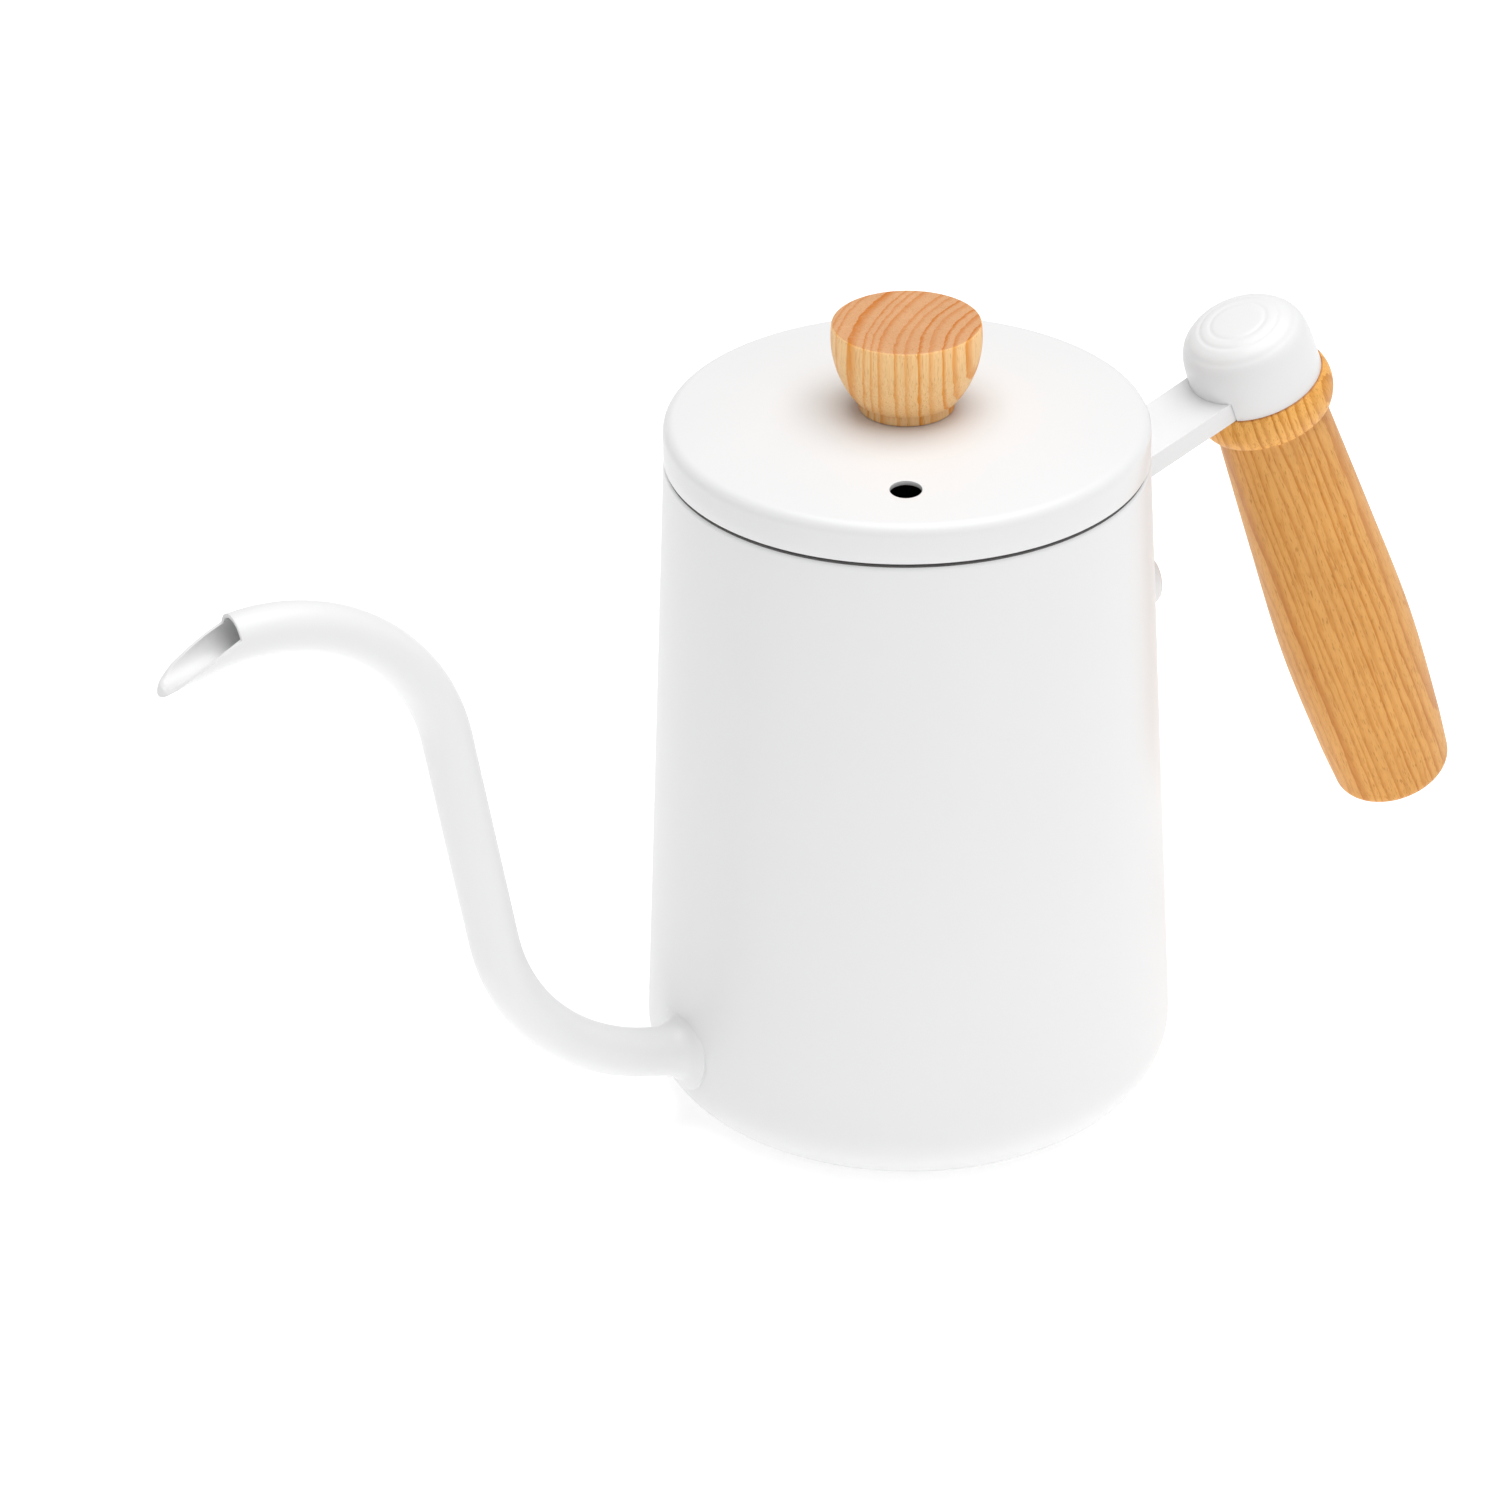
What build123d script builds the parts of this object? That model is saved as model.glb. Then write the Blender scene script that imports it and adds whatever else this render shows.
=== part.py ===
from build123d import *
from math import cos, pi, radians, sin, tan
import os

# A gooseneck pour-over kettle, in millimetres. The origin is the centre of the base, +Z is up, +X points to
# the handle and -X to the spout. Everything but the steam vent is symmetric about the XZ plane.

# ---- driving dimensions: the pot ----
mouth_height = 128.0  # top of the pot, where the lid rests
mouth_radius = 44.0  # outside radius of the wall at the mouth
wall_slope = 2.68  # degrees that the wall leans out on its way down
wall = 0.8  # sheet thickness of the pot
heel_radius = 12.1  # outside bend between the wall and the bottom
rim_bend = 1.2  # outside bend of the turned-in rim
ledge_width = 3.6  # how far the rim turns in
bottom_rim = 17.0  # from the wall's line at the floor in to the edge of the base disc
base_disc_thickness = 1.2

# ---- driving dimensions: the spout ----
spout_height = 17.0  # height of the spout's axis where it leaves the wall
spout_radius = 4.6  # outside radius of the tube
spout_wall = 0.7
spout_bend_inset = 4.3  # how far inside the wall the lower bend begins
spout_lower_bend = 42.7  # centreline radii of the two bends
spout_upper_bend = 37.2
spout_rise_angle = 80.4  # degrees above the horizontal of the rising run
spout_rise_run = 44.6  # straight length between the bends
spout_tip_angle = 13.0  # degrees below the horizontal at the tip
spout_tip_run = 12.0  # straight length after the upper bend, before the lip is cut
flare_radius = 7.5  # outside radius of the flared root on the wall
flare_length = 6.0
flare_curve = 8.0  # radius of the flare's hollow outline
flare_dip = 0.25  # how far the flare's thin end sinks into the tube
flare_inset = 4.0  # how far the root runs on inside the wall before it is cut to the wall's shape
# X and Z of the lip's cut, from the end of the upper bend
lip_mouth = (5.1, 13.4)  # on the steep cut that ends the full round of the tube
lip_step = (5.4, 2.3)  # the corner between the steep cut and the long curved cut
lip_middle = (-4.7, -3.0)  # a point of the long cut
lip_point = (-10.1, -7.8)  # its end, past the point of the beak

# ---- driving dimensions: the lid ----
lid_gap = 0.5  # shadow line between the pot and the lid's skirt
lid_skirt_height = 6.9
lid_edge_radius = 2.3
lid_crown = 2.2  # rise of the lid's centre above its edge
lid_sheet = 0.8
collar_sheet = 0.7
collar_depth = 11.0  # how far the collar reaches into the mouth
collar_lip = 3.5  # height of the collar's edge that is welded inside the skirt
collar_clearance = 0.4  # radial play of the collar in the mouth
vent_radius = 2.9
vent_inset = 12.6  # from the lid's edge to the vent's centre
vent_direction = -121.0  # degrees from +X

# ---- driving dimensions: the knob ----
knob_height = 16.7
knob_radius = 13.4
knob_foot_radius = 8.7
knob_foot_height = 2.3
knob_bowl_foot = 9.5  # radius of the bowl where it meets the foot
knob_bulge_radius = 12.5  # radius of the bowl half way down, and its height
knob_bulge_height = 7.6
knob_edge = 0.5
knob_insert_radius = 3.2
knob_insert_length = 9.0
knob_screw_radius = 2.0
knob_screw_grip = 7.5  # length of the screw inside the insert
knob_screw_head_radius = 3.8
knob_screw_head_height = 2.4
knob_washer_radius = 6.0
knob_washer_thickness = 0.8
screw_clearance = 0.15  # radial play of the screw in the lid and the washer

# ---- driving dimensions: the handle ----
grip_reach = 32.0  # from the wall at the mouth to the grip's axis at its seat, where the wood meets the arm
grip_drop = 4.0  # how far that point lies below the mouth
grip_tilt = 20.6  # degrees that the grip leans out on its way down
grip_length = 100.3
grip_neck_radius = 10.6
grip_upper_radius = 12.0
grip_upper_depth = 37.0  # depths are measured down the grip from its seat
grip_widest_radius = 13.0
grip_widest_depth = 63.0
grip_lower_radius = 12.2
grip_lower_depth = 87.0
grip_end_radius = 11.2
grip_end_rounding = 3.0
bead_radius = 13.4
bead_edge_radius = 12.6
bead_height = 7.2
bead_groove = 0.7
cap_radius = 12.25
cap_skirt = 4.1
cap_height = 14.1
cap_fullness = 3.4  # exponent of the dome's outline: 2 is an ellipse, more is fuller
cap_outline_points = 9
cap_shell = 1.8
cap_boss_radius = 5.0
cap_thread_depth = 8.0
cap_rings = [5.3, 7.5, 10.4]  # radii of the turned rings on the dome
cap_ring_depth = 0.28
cap_notch_play = 0.25
arm_width = 14.0
arm_thickness = 4.0
leg_thickness = 3.2
leg_drop = 26.6  # from the bend between arm and leg down to the rivet
rivet_head_radius = 5.2
rivet_head_height = 4.0
rivet_head_rounding = 1.4
rivet_shank_radius = 2.5
rivet_tail_radius = 4.0
rivet_tail_height = 1.4
rivet_washer_radius = 6.5
rivet_washer_thickness = 1.0
bolt_radius = 2.5
bolt_play = 0.25  # radial play of the bolt in the grip and in the arm's eye
bolt_head_radius = 4.2
bolt_head_height = 3.2
bolt_washer_radius = 5.0
bolt_washer_thickness = 1.0
bolt_recess_radius = 5.4
bolt_recess_depth = 10.0
recess_depth_share = 0.6  # depth of a screw's cross recess, as a share of its head
edge_break = 0.4  # small rounding on bent and turned metal


def wall_radius(height):
    """Outside radius of the pot's wall at a height."""
    return mouth_radius + (mouth_height - height) * tan(radians(wall_slope))


def cap_profile_height(radius):
    """Height of the cap's dome above its rim at a distance from its axis."""
    fall = 1 - (radius / cap_radius) ** cap_fullness
    return cap_skirt + (cap_height - cap_skirt) * fall ** (1 / cap_fullness)


os.makedirs("parts", exist_ok=True)

ledge_radius = mouth_radius - ledge_width
base_disc_radius = wall_radius(0) - bottom_rim
skirt_bottom = mouth_height + lid_gap
lid_edge_height = skirt_bottom + lid_skirt_height
lid_top = lid_edge_height + lid_crown
lean = radians(grip_tilt)
grip_distance = mouth_radius + grip_reach
grip_seat_height = mouth_height - grip_drop
leg_top = grip_seat_height - (grip_reach - leg_thickness) * tan(lean) + arm_thickness / 2
rivet_height = leg_top - leg_drop

# The cone that the outside of the wall lies on, and cones inside or outside of it, as solids for cutting.


def wall_cone(outwards):
    """A solid whose side is the wall's outside, moved outwards by a distance."""
    shift = outwards / cos(radians(wall_slope))
    foot = wall_radius(0) + shift
    top = wall_radius(mouth_height) + shift
    with BuildPart() as cone:
        with BuildSketch(Plane.XZ):
            with BuildLine():
                Polyline((0, 0), (foot, 0), (top, mouth_height), (0, mouth_height), close=True)
            make_face()
        revolve(axis=Axis.Z)
    return cone.part


# ---- pot ----
wall_layer = wall_cone(0)

with BuildPart() as body_shell:
    with BuildSketch(Plane.XZ):
        with BuildLine():
            FilletPolyline(
                (ledge_radius, mouth_height),
                (mouth_radius, mouth_height),
                (wall_radius(0), 0),
                (base_disc_radius, 0),
                radius=[rim_bend, heel_radius],
            )
            offset(amount=wall, side=Side.RIGHT)
        make_face()
    revolve(axis=Axis.Z)
    with BuildSketch(Plane.YZ.offset(-mouth_radius / 2)):
        with Locations((0, spout_height)):
            Circle(flare_radius - spout_wall - edge_break)
    extrude(amount=-mouth_radius, mode=Mode.SUBTRACT)
    with BuildSketch(Plane.YZ.offset(mouth_radius / 2)):
        with Locations((0, rivet_height)):
            Circle(rivet_shank_radius)
    extrude(amount=mouth_radius, mode=Mode.SUBTRACT)
body_shell.part.label = "body_shell"

with BuildPart() as base_disc:
    with BuildSketch():
        Circle(base_disc_radius)
    extrude(amount=base_disc_thickness)
    fillet(base_disc.edges().group_by(Axis.Z)[-1], radius=edge_break)
base_disc.part.label = "base_disc"

# ---- spout ----
wall_at_spout = wall_radius(spout_height)
bend_start = (spout_bend_inset - wall_at_spout, spout_height)
with BuildLine(Plane.XZ) as spout_route:
    lower_bend = JernArc(bend_start, (-1, 0), spout_lower_bend, -spout_rise_angle)
    rising_run = Line(lower_bend @ 1, lower_bend @ 1 + (lower_bend % 1) * spout_rise_run)
    upper_bend = JernArc(rising_run @ 1, rising_run % 1, spout_upper_bend, spout_rise_angle + spout_tip_angle)
    Line(upper_bend @ 1, upper_bend @ 1 + (upper_bend % 1) * spout_tip_run)
spout_line = spout_route.wires()[0]
bend_end = upper_bend @ 1

# the flare is turned about the straight line that touches the lower bend half way along it
flare_place = (spout_bend_inset + flare_length / 2) / lower_bend.length
flare_plane = Plane(lower_bend @ flare_place, x_dir=lower_bend % flare_place, z_dir=(0, 1, 0))


def spout_round(tube_radius, root_radius, hollow):
    """A round solid along the whole spout: the tube and its flared root."""
    with BuildPart() as rounds:
        with BuildSketch(Plane(spout_line @ 0, z_dir=spout_line % 0)):
            Circle(tube_radius)
        sweep(path=spout_line)
        with BuildSketch(flare_plane):
            with BuildLine():
                flare_outline = RadiusArc(
                    (-flare_length / 2, root_radius), (flare_length / 2, tube_radius - flare_dip), hollow
                )
                Polyline(flare_outline @ 1, (flare_length / 2, 0), (-flare_length / 2 - flare_inset, 0),
                         (-flare_length / 2 - flare_inset, root_radius), flare_outline @ 0)
            make_face()
        revolve(axis=Axis(flare_plane.origin, flare_plane.x_dir))
    return rounds.part


spout_blank = spout_round(spout_radius, flare_radius, flare_curve)
spout_bore = spout_round(spout_radius - spout_wall, flare_radius - spout_wall, flare_curve + spout_wall)

with BuildPart() as spout_tube:
    add(spout_blank)
    add(spout_bore, mode=Mode.SUBTRACT)
    add(wall_layer, mode=Mode.SUBTRACT)
    with BuildSketch(Plane(bend_end, x_dir=(1, 0, 0), z_dir=(0, -1, 0))):
        with BuildLine():
            beyond = 2 * lip_point[0]
            Line(lip_mouth, lip_step)
            ThreePointArc(lip_step, lip_middle, lip_point)
            Polyline(lip_point, (beyond, lip_point[1]), (beyond, lip_mouth[1]), lip_mouth)
        make_face()
    extrude(amount=2 * spout_radius, both=True, mode=Mode.SUBTRACT)
spout_tube.part.label = "spout_tube"

# ---- lid ----
lid_pad = knob_foot_radius + 1.0  # flat middle that the knob stands on
vent_distance = mouth_radius - vent_inset
with BuildPart() as lid_cover:
    with BuildSketch(Plane.XZ):
        with BuildLine():
            Polyline((lid_pad, lid_top), (0, lid_top), (0, skirt_bottom), (mouth_radius, skirt_bottom),
                     (mouth_radius, lid_edge_height))
            TangentArc((lid_pad, lid_top), (mouth_radius, lid_edge_height), tangent=(1, 0))
        make_face()
    revolve(axis=Axis.Z)
    fillet(lid_cover.edges().filter_by_position(Axis.Z, lid_edge_height - edge_break,
                                                lid_edge_height + edge_break), radius=lid_edge_radius)
    offset(amount=-lid_sheet, openings=lid_cover.faces().sort_by(Axis.Z)[0])
    with Locations(Plane.XY.offset(lid_top)):
        Hole(knob_screw_radius + screw_clearance)
        with PolarLocations(vent_distance, 1, start_angle=vent_direction):
            Hole(vent_radius)
lid_cover.part.label = "lid_cover"

skirt_inside = mouth_radius - lid_sheet
plug_radius = ledge_radius - collar_clearance
with BuildPart() as lid_collar:
    with BuildSketch(Plane.XZ):
        with BuildLine():
            FilletPolyline(
                (skirt_inside, mouth_height + collar_lip),
                (skirt_inside, mouth_height),
                (plug_radius, mouth_height),
                (plug_radius, mouth_height - collar_depth),
                radius=[collar_sheet + edge_break, edge_break],
            )
            offset(amount=collar_sheet, side=Side.RIGHT)
        make_face()
    revolve(axis=Axis.Z)
lid_collar.part.label = "lid_collar"

# ---- knob ----
with BuildPart() as lid_knob:
    with BuildSketch(Plane.XZ):
        with BuildLine():
            Polyline(
                (0, lid_top),
                (knob_foot_radius, lid_top),
                (knob_foot_radius, lid_top + knob_foot_height),
                (knob_bowl_foot, lid_top + knob_foot_height),
            )
            ThreePointArc(
                (knob_bowl_foot, lid_top + knob_foot_height),
                (knob_bulge_radius, lid_top + knob_bulge_height),
                (knob_radius, lid_top + knob_height),
            )
            Polyline((knob_radius, lid_top + knob_height), (0, lid_top + knob_height), (0, lid_top))
        make_face()
    revolve(axis=Axis.Z)
    fillet(lid_knob.edges().group_by(Axis.Z)[-1], radius=knob_edge)
    with BuildSketch(Plane.XY.offset(lid_top)):
        Circle(knob_insert_radius)
    extrude(amount=knob_insert_length, mode=Mode.SUBTRACT)
lid_knob.part.label = "lid_knob"

with BuildPart() as knob_insert:
    with BuildSketch(Plane.XY.offset(lid_top)):
        Circle(knob_insert_radius)
        Circle(knob_screw_radius, mode=Mode.SUBTRACT)
    extrude(amount=knob_insert_length)
knob_insert.part.label = "knob_insert"

lid_underside = lid_top - lid_sheet
with BuildPart() as knob_washer:
    with BuildSketch(Plane.XY.offset(lid_underside)):
        Circle(knob_washer_radius)
        Circle(knob_screw_radius + screw_clearance, mode=Mode.SUBTRACT)
    extrude(amount=-knob_washer_thickness)
knob_washer.part.label = "knob_washer"


def cross_recess(head_plane, head_radius, head_height):
    """A cross-shaped driver recess, sunk into a screw head whose face lies on a plane."""
    arm = head_radius * 1.1
    with BuildPart() as recess:
        with BuildSketch(head_plane):
            Rectangle(arm, arm / 4)
            Rectangle(arm / 4, arm)
        extrude(amount=-recess_depth_share * head_height)
    return recess.part


screw_head_top = lid_underside - knob_washer_thickness
screw_face = Plane((0, 0, screw_head_top - knob_screw_head_height), x_dir=(1, 0, 0), z_dir=(0, 0, -1))
knob_recess = cross_recess(screw_face, knob_screw_head_radius, knob_screw_head_height)
with BuildPart() as knob_screw:
    with BuildSketch(screw_face):
        Circle(knob_screw_head_radius)
    extrude(amount=-knob_screw_head_height)
    fillet(knob_screw.edges().group_by(Axis.Z)[0], radius=knob_screw_head_height / 3)
    with BuildSketch(Plane.XY.offset(screw_head_top)):
        Circle(knob_screw_radius)
    extrude(amount=knob_washer_thickness + lid_sheet + knob_screw_grip)
    chamfer(knob_screw.edges().group_by(Axis.Z)[-1], length=edge_break)
    add(knob_recess, mode=Mode.SUBTRACT)
knob_screw.part.label = "knob_screw"

# ---- handle: everything on the grip's axis is drawn on the seat plane, whose Z runs up into the cap ----
grip_up = Vector(-sin(lean), 0, cos(lean))
seat = Plane((grip_distance, 0, grip_seat_height), x_dir=(cos(lean), 0, sin(lean)), z_dir=grip_up)
grip_axis = Axis(seat.origin, grip_up)
# local Y of this plane runs up the grip's axis
grip_side = Plane(seat.origin, x_dir=seat.x_dir, z_dir=(0, -1, 0))

# the arm runs from the eye under the cap straight down to the wall, and its leg lies on the wall
arm_to_wall = grip_distance / cos(lean)
leg_layer = wall_cone(leg_thickness)

with BuildPart() as handle_bracket:
    with BuildSketch(Plane.YZ):
        with Locations((0, rivet_height)):
            Circle(arm_width / 2)
            Rectangle(arm_width, leg_top - rivet_height, align=(Align.CENTER, Align.MIN))
    extrude(amount=grip_distance)
    add(leg_layer, mode=Mode.INTERSECT)
    with BuildSketch(seat):
        Circle(arm_width / 2)
        Rectangle(arm_to_wall, arm_width, align=(Align.MAX, Align.CENTER))
    extrude(amount=arm_thickness)
    add(wall_layer, mode=Mode.SUBTRACT)
    with BuildSketch(seat):
        Circle(bolt_radius + bolt_play)
    extrude(amount=arm_thickness, mode=Mode.SUBTRACT)
    with BuildSketch(Plane.YZ):
        with Locations((0, rivet_height)):
            Circle(rivet_shank_radius)
    extrude(amount=grip_distance, mode=Mode.SUBTRACT)
handle_bracket.part.label = "handle_bracket"

# ---- rivet and its curved washer ----
rivet_face = wall_radius(rivet_height) + leg_thickness / cos(radians(wall_slope))
washer_outside = wall_cone(-wall)
washer_inside = wall_cone(-wall - rivet_washer_thickness)
washer_face = wall_radius(rivet_height) - wall - rivet_washer_thickness

with BuildPart() as rivet_washer:
    with BuildSketch(Plane.YZ):
        with Locations((0, rivet_height)):
            Circle(rivet_washer_radius)
            Circle(rivet_shank_radius, mode=Mode.SUBTRACT)
    extrude(amount=grip_distance)
    add(washer_outside, mode=Mode.INTERSECT)
    add(washer_inside, mode=Mode.SUBTRACT)
rivet_washer.part.label = "rivet_washer"

with BuildPart() as bracket_rivet:
    with BuildSketch(Plane.YZ.offset(rivet_face - leg_thickness / 2)):
        with Locations((0, rivet_height)):
            Circle(rivet_head_radius)
    extrude(amount=rivet_head_height + leg_thickness / 2)
    fillet(bracket_rivet.edges().group_by(Axis.X)[-1], radius=rivet_head_rounding)
    add(leg_layer, mode=Mode.SUBTRACT)
    with BuildSketch(Plane.YZ.offset(washer_face - rivet_tail_height)):
        with Locations((0, rivet_height)):
            Circle(rivet_shank_radius)
    extrude(amount=rivet_face + rivet_head_height / 2 - washer_face + rivet_tail_height)
    with BuildSketch(Plane.YZ.offset(washer_face - rivet_tail_height)):
        with Locations((0, rivet_height)):
            Circle(rivet_tail_radius)
    extrude(amount=rivet_tail_height - edge_break)
bracket_rivet.part.label = "bracket_rivet"

# ---- cap ----
cap_outline = []
for step in range(cap_outline_points):
    radius = cap_radius * cos(step / (cap_outline_points - 1) * pi / 2)
    cap_outline.append((radius, cap_profile_height(radius)))
cavity_radius = cap_radius - cap_shell
notch_width = arm_width + 2 * cap_notch_play
with BuildPart() as handle_cap:
    with BuildSketch(grip_side):
        with BuildLine():
            Polyline((0, cap_height), (0, 0), (cap_radius, 0), (cap_radius, cap_skirt))
            Spline(cap_outline, tangents=[(0, 1), (-1, 0)])
        make_face()
    revolve(axis=grip_axis)
    with BuildSketch(seat):
        Circle(cavity_radius)
        Circle(cap_boss_radius, mode=Mode.SUBTRACT)
    extrude(amount=cap_height - 2 * cap_shell, mode=Mode.SUBTRACT)
    with BuildSketch(seat):
        Circle(cap_boss_radius + edge_break)
        Rectangle(cap_radius * 2, notch_width, align=(Align.MAX, Align.CENTER))
    extrude(amount=arm_thickness, mode=Mode.SUBTRACT)
    with BuildSketch(seat):
        Circle(bolt_radius)
    extrude(amount=arm_thickness + cap_thread_depth, mode=Mode.SUBTRACT)
    with BuildSketch(grip_side):
        for ring in cap_rings:
            with Locations((ring, cap_profile_height(ring))):
                Circle(cap_ring_depth)
    revolve(axis=grip_axis, mode=Mode.SUBTRACT)
handle_cap.part.label = "handle_cap"

# ---- grip ----
with BuildPart() as handle_grip:
    with BuildSketch(grip_side):
        with BuildLine():
            Line((0, 0), (bead_edge_radius, 0))
            ThreePointArc(
                (bead_edge_radius, 0), (bead_radius, -bead_height / 2), (bead_edge_radius, -bead_height)
            )
            Polyline((bead_edge_radius, -bead_height), (grip_neck_radius, -bead_height),
                     (grip_neck_radius, -bead_height - bead_groove))
            Spline(
                (grip_neck_radius, -bead_height - bead_groove),
                (grip_upper_radius, -grip_upper_depth),
                (grip_widest_radius, -grip_widest_depth),
                (grip_lower_radius, -grip_lower_depth),
                (grip_end_radius, -grip_length),
            )
            Polyline((grip_end_radius, -grip_length), (0, -grip_length), (0, 0))
        make_face()
    revolve(axis=grip_axis)
    grip_end_edge = handle_grip.edges().filter_by(GeomType.CIRCLE).sort_by(grip_axis)[0]
    fillet(grip_end_edge, radius=grip_end_rounding)
    with BuildSketch(seat):
        Circle(bolt_radius + bolt_play)
    extrude(amount=-grip_length, mode=Mode.SUBTRACT)
    with BuildSketch(seat.offset(-grip_length)):
        Circle(bolt_recess_radius)
    extrude(amount=bolt_recess_depth, mode=Mode.SUBTRACT)
handle_grip.part.label = "handle_grip"

# ---- bolt and washer in the grip's lower end ----
recess_floor = seat.offset(bolt_recess_depth - grip_length)
with BuildPart() as bolt_washer:
    with BuildSketch(recess_floor):
        Circle(bolt_washer_radius)
        Circle(bolt_radius + bolt_play, mode=Mode.SUBTRACT)
    extrude(amount=-bolt_washer_thickness)
bolt_washer.part.label = "bolt_washer"

bolt_seat = recess_floor.offset(-bolt_washer_thickness)
bolt_face = Plane(bolt_seat.offset(-bolt_head_height).origin, x_dir=seat.x_dir, z_dir=-grip_up)
bolt_recess = cross_recess(bolt_face, bolt_head_radius, bolt_head_height)
bolt_run = bolt_washer_thickness + grip_length - bolt_recess_depth + arm_thickness
bolt_length = bolt_run + cap_thread_depth - edge_break
with BuildPart() as handle_bolt:
    with BuildSketch(bolt_face):
        Circle(bolt_head_radius)
    extrude(amount=-bolt_head_height)
    fillet(handle_bolt.edges().sort_by(grip_axis)[0], radius=bolt_head_height / 3)
    with BuildSketch(bolt_seat):
        Circle(bolt_radius)
    extrude(amount=bolt_length)
    chamfer(handle_bolt.edges().sort_by(grip_axis)[-1], length=edge_break)
    add(bolt_recess, mode=Mode.SUBTRACT)
handle_bolt.part.label = "handle_bolt"

pieces = [
    body_shell, base_disc, spout_tube, handle_bracket, bracket_rivet, rivet_washer, handle_cap, handle_grip,
    handle_bolt, bolt_washer, lid_cover, lid_collar, lid_knob, knob_insert, knob_screw, knob_washer,
]
for piece in pieces:
    export_step(piece.part, f"parts/{piece.part.label}.step")
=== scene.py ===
import math
from functools import partial

import bmesh
import bpy
from mathutils import Matrix, Vector


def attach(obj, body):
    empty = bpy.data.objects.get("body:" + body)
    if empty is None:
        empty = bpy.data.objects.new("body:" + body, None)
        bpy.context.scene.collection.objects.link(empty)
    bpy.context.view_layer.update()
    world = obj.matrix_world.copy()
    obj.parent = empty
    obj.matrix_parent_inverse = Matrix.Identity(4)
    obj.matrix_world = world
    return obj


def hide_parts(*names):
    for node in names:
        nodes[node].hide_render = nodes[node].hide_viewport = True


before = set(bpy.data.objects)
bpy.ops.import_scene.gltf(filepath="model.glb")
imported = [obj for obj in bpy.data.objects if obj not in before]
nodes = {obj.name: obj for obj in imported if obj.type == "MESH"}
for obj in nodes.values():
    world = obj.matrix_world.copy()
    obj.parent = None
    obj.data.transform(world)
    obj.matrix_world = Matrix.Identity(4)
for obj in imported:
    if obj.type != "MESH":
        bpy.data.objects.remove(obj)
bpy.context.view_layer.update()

# ---- Camera, floor and studio ----
# A long lens looks down on the kettle from its front left. It stands on a white table that is lit a little
# from below, in a white room, with one large soft lamp in front on the right and another high above.
CAMERA_PLACE = (-0.48095, -0.81049, 0.59948)
CAMERA_YAW = 28.906
CAMERA_PITCH = 29.471
CAMERA_ROLL = -1.021
FLOOR_REACH = 30
ROOM_LIGHT = 0.43
WALL_LIGHT = 0.90

lens = bpy.data.cameras.new("shop_lens")
lens.lens = 139.88
lens.clip_start = 0.05
lens.clip_end = 20


def put(name, data):
    """A new object in the scene from its mesh, curve, lamp or camera."""
    made = bpy.data.objects.new(name, data)
    bpy.context.scene.collection.objects.link(made)
    return made


camera = put("shop_camera", lens)
camera.matrix_world = (
    Matrix.Translation(CAMERA_PLACE)
    @ Matrix.Rotation(math.radians(-CAMERA_YAW), 4, "Z")
    @ Matrix.Rotation(math.radians(90 - CAMERA_PITCH), 4, "X")
    @ Matrix.Rotation(math.radians(CAMERA_ROLL), 4, "Z")
)
bpy.context.scene.camera = camera
bpy.context.scene.view_settings.view_transform = "Standard"


def material(name):
    """An empty node material with its Principled shader."""
    made = bpy.data.materials.new(name)
    made.use_nodes = True
    return made, made.node_tree, made.node_tree.nodes["Principled BSDF"]


def node(tree, kind, links=(), **settings):
    """A node with its settings, and its inputs either linked to an output or set to a value."""
    made = tree.nodes.new(kind)
    for key, value in settings.items():
        setattr(made, key, value)
    for socket, value in dict(links).items():
        if isinstance(value, bpy.types.NodeSocket):
            tree.links.new(value, made.inputs[socket])
        else:
            made.inputs[socket].default_value = value
    return made


card, card_tree, card_shader = material("studio_card")
card_grain = node(card_tree, "ShaderNodeTexNoise", {"Scale": 9.0, "Detail": 4.0})
card_tone = node(card_tree, "ShaderNodeMapRange",
                 {"Value": card_grain.outputs[0], "To Min": 0.93, "To Max": 0.95})
card_tree.links.new(card_tone.outputs[0], card_shader.inputs["Base Color"])
card_shader.inputs["Roughness"].default_value = 0.9
card_shader.inputs["Specular IOR Level"].default_value = 0.1
card_shader.inputs["Emission Color"].default_value = (1.0, 1.0, 1.0, 1.0)
card_shader.inputs["Emission Strength"].default_value = 0.38
floor_mesh = bpy.data.meshes.new("studio_floor")
floor_mesh.from_pydata([(-FLOOR_REACH, -FLOOR_REACH, 0), (FLOOR_REACH, -FLOOR_REACH, 0),
                        (FLOOR_REACH, FLOOR_REACH, 0), (-FLOOR_REACH, FLOOR_REACH, 0)], [], [(0, 1, 2, 3)])
floor = put("studio_floor", floor_mesh)
floor.data.materials.append(card)

# The room gives a soft light, and its walls, where they are seen past the table, are plain white.
world = bpy.data.worlds.new("white_room")
world.use_nodes = True
room = world.node_tree
room_light = room.nodes["Background"]
room_light.inputs["Color"].default_value = (1.0, 1.0, 1.0, 1.0)
room_seen = node(room, "ShaderNodeLightPath").outputs["Is Camera Ray"]
room_strength = node(room, "ShaderNodeMapRange",
                     {"Value": room_seen, "To Min": ROOM_LIGHT, "To Max": WALL_LIGHT})
room.links.new(room_strength.outputs[0], room_light.inputs["Strength"])
bpy.context.scene.world = world


def soft_lamp(name, place, aim, size, power):
    """A square area lamp that faces a point."""
    lamp = bpy.data.lights.new(name, "AREA")
    lamp.size = size
    lamp.energy = power
    facing = (Vector(place) - Vector(aim)).to_track_quat("Z", "Y")
    put(name, lamp).matrix_world = Matrix.Translation(place) @ facing.to_matrix().to_4x4()


soft_lamp("lamp_front", (0.1, -1.6, 0.9), (0, 0, 0.08), 0.9, 1.2)
soft_lamp("lamp_above", (0.15, -0.1, 1.6), (0, 0, 0.1), 1.5, 22.5)

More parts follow.
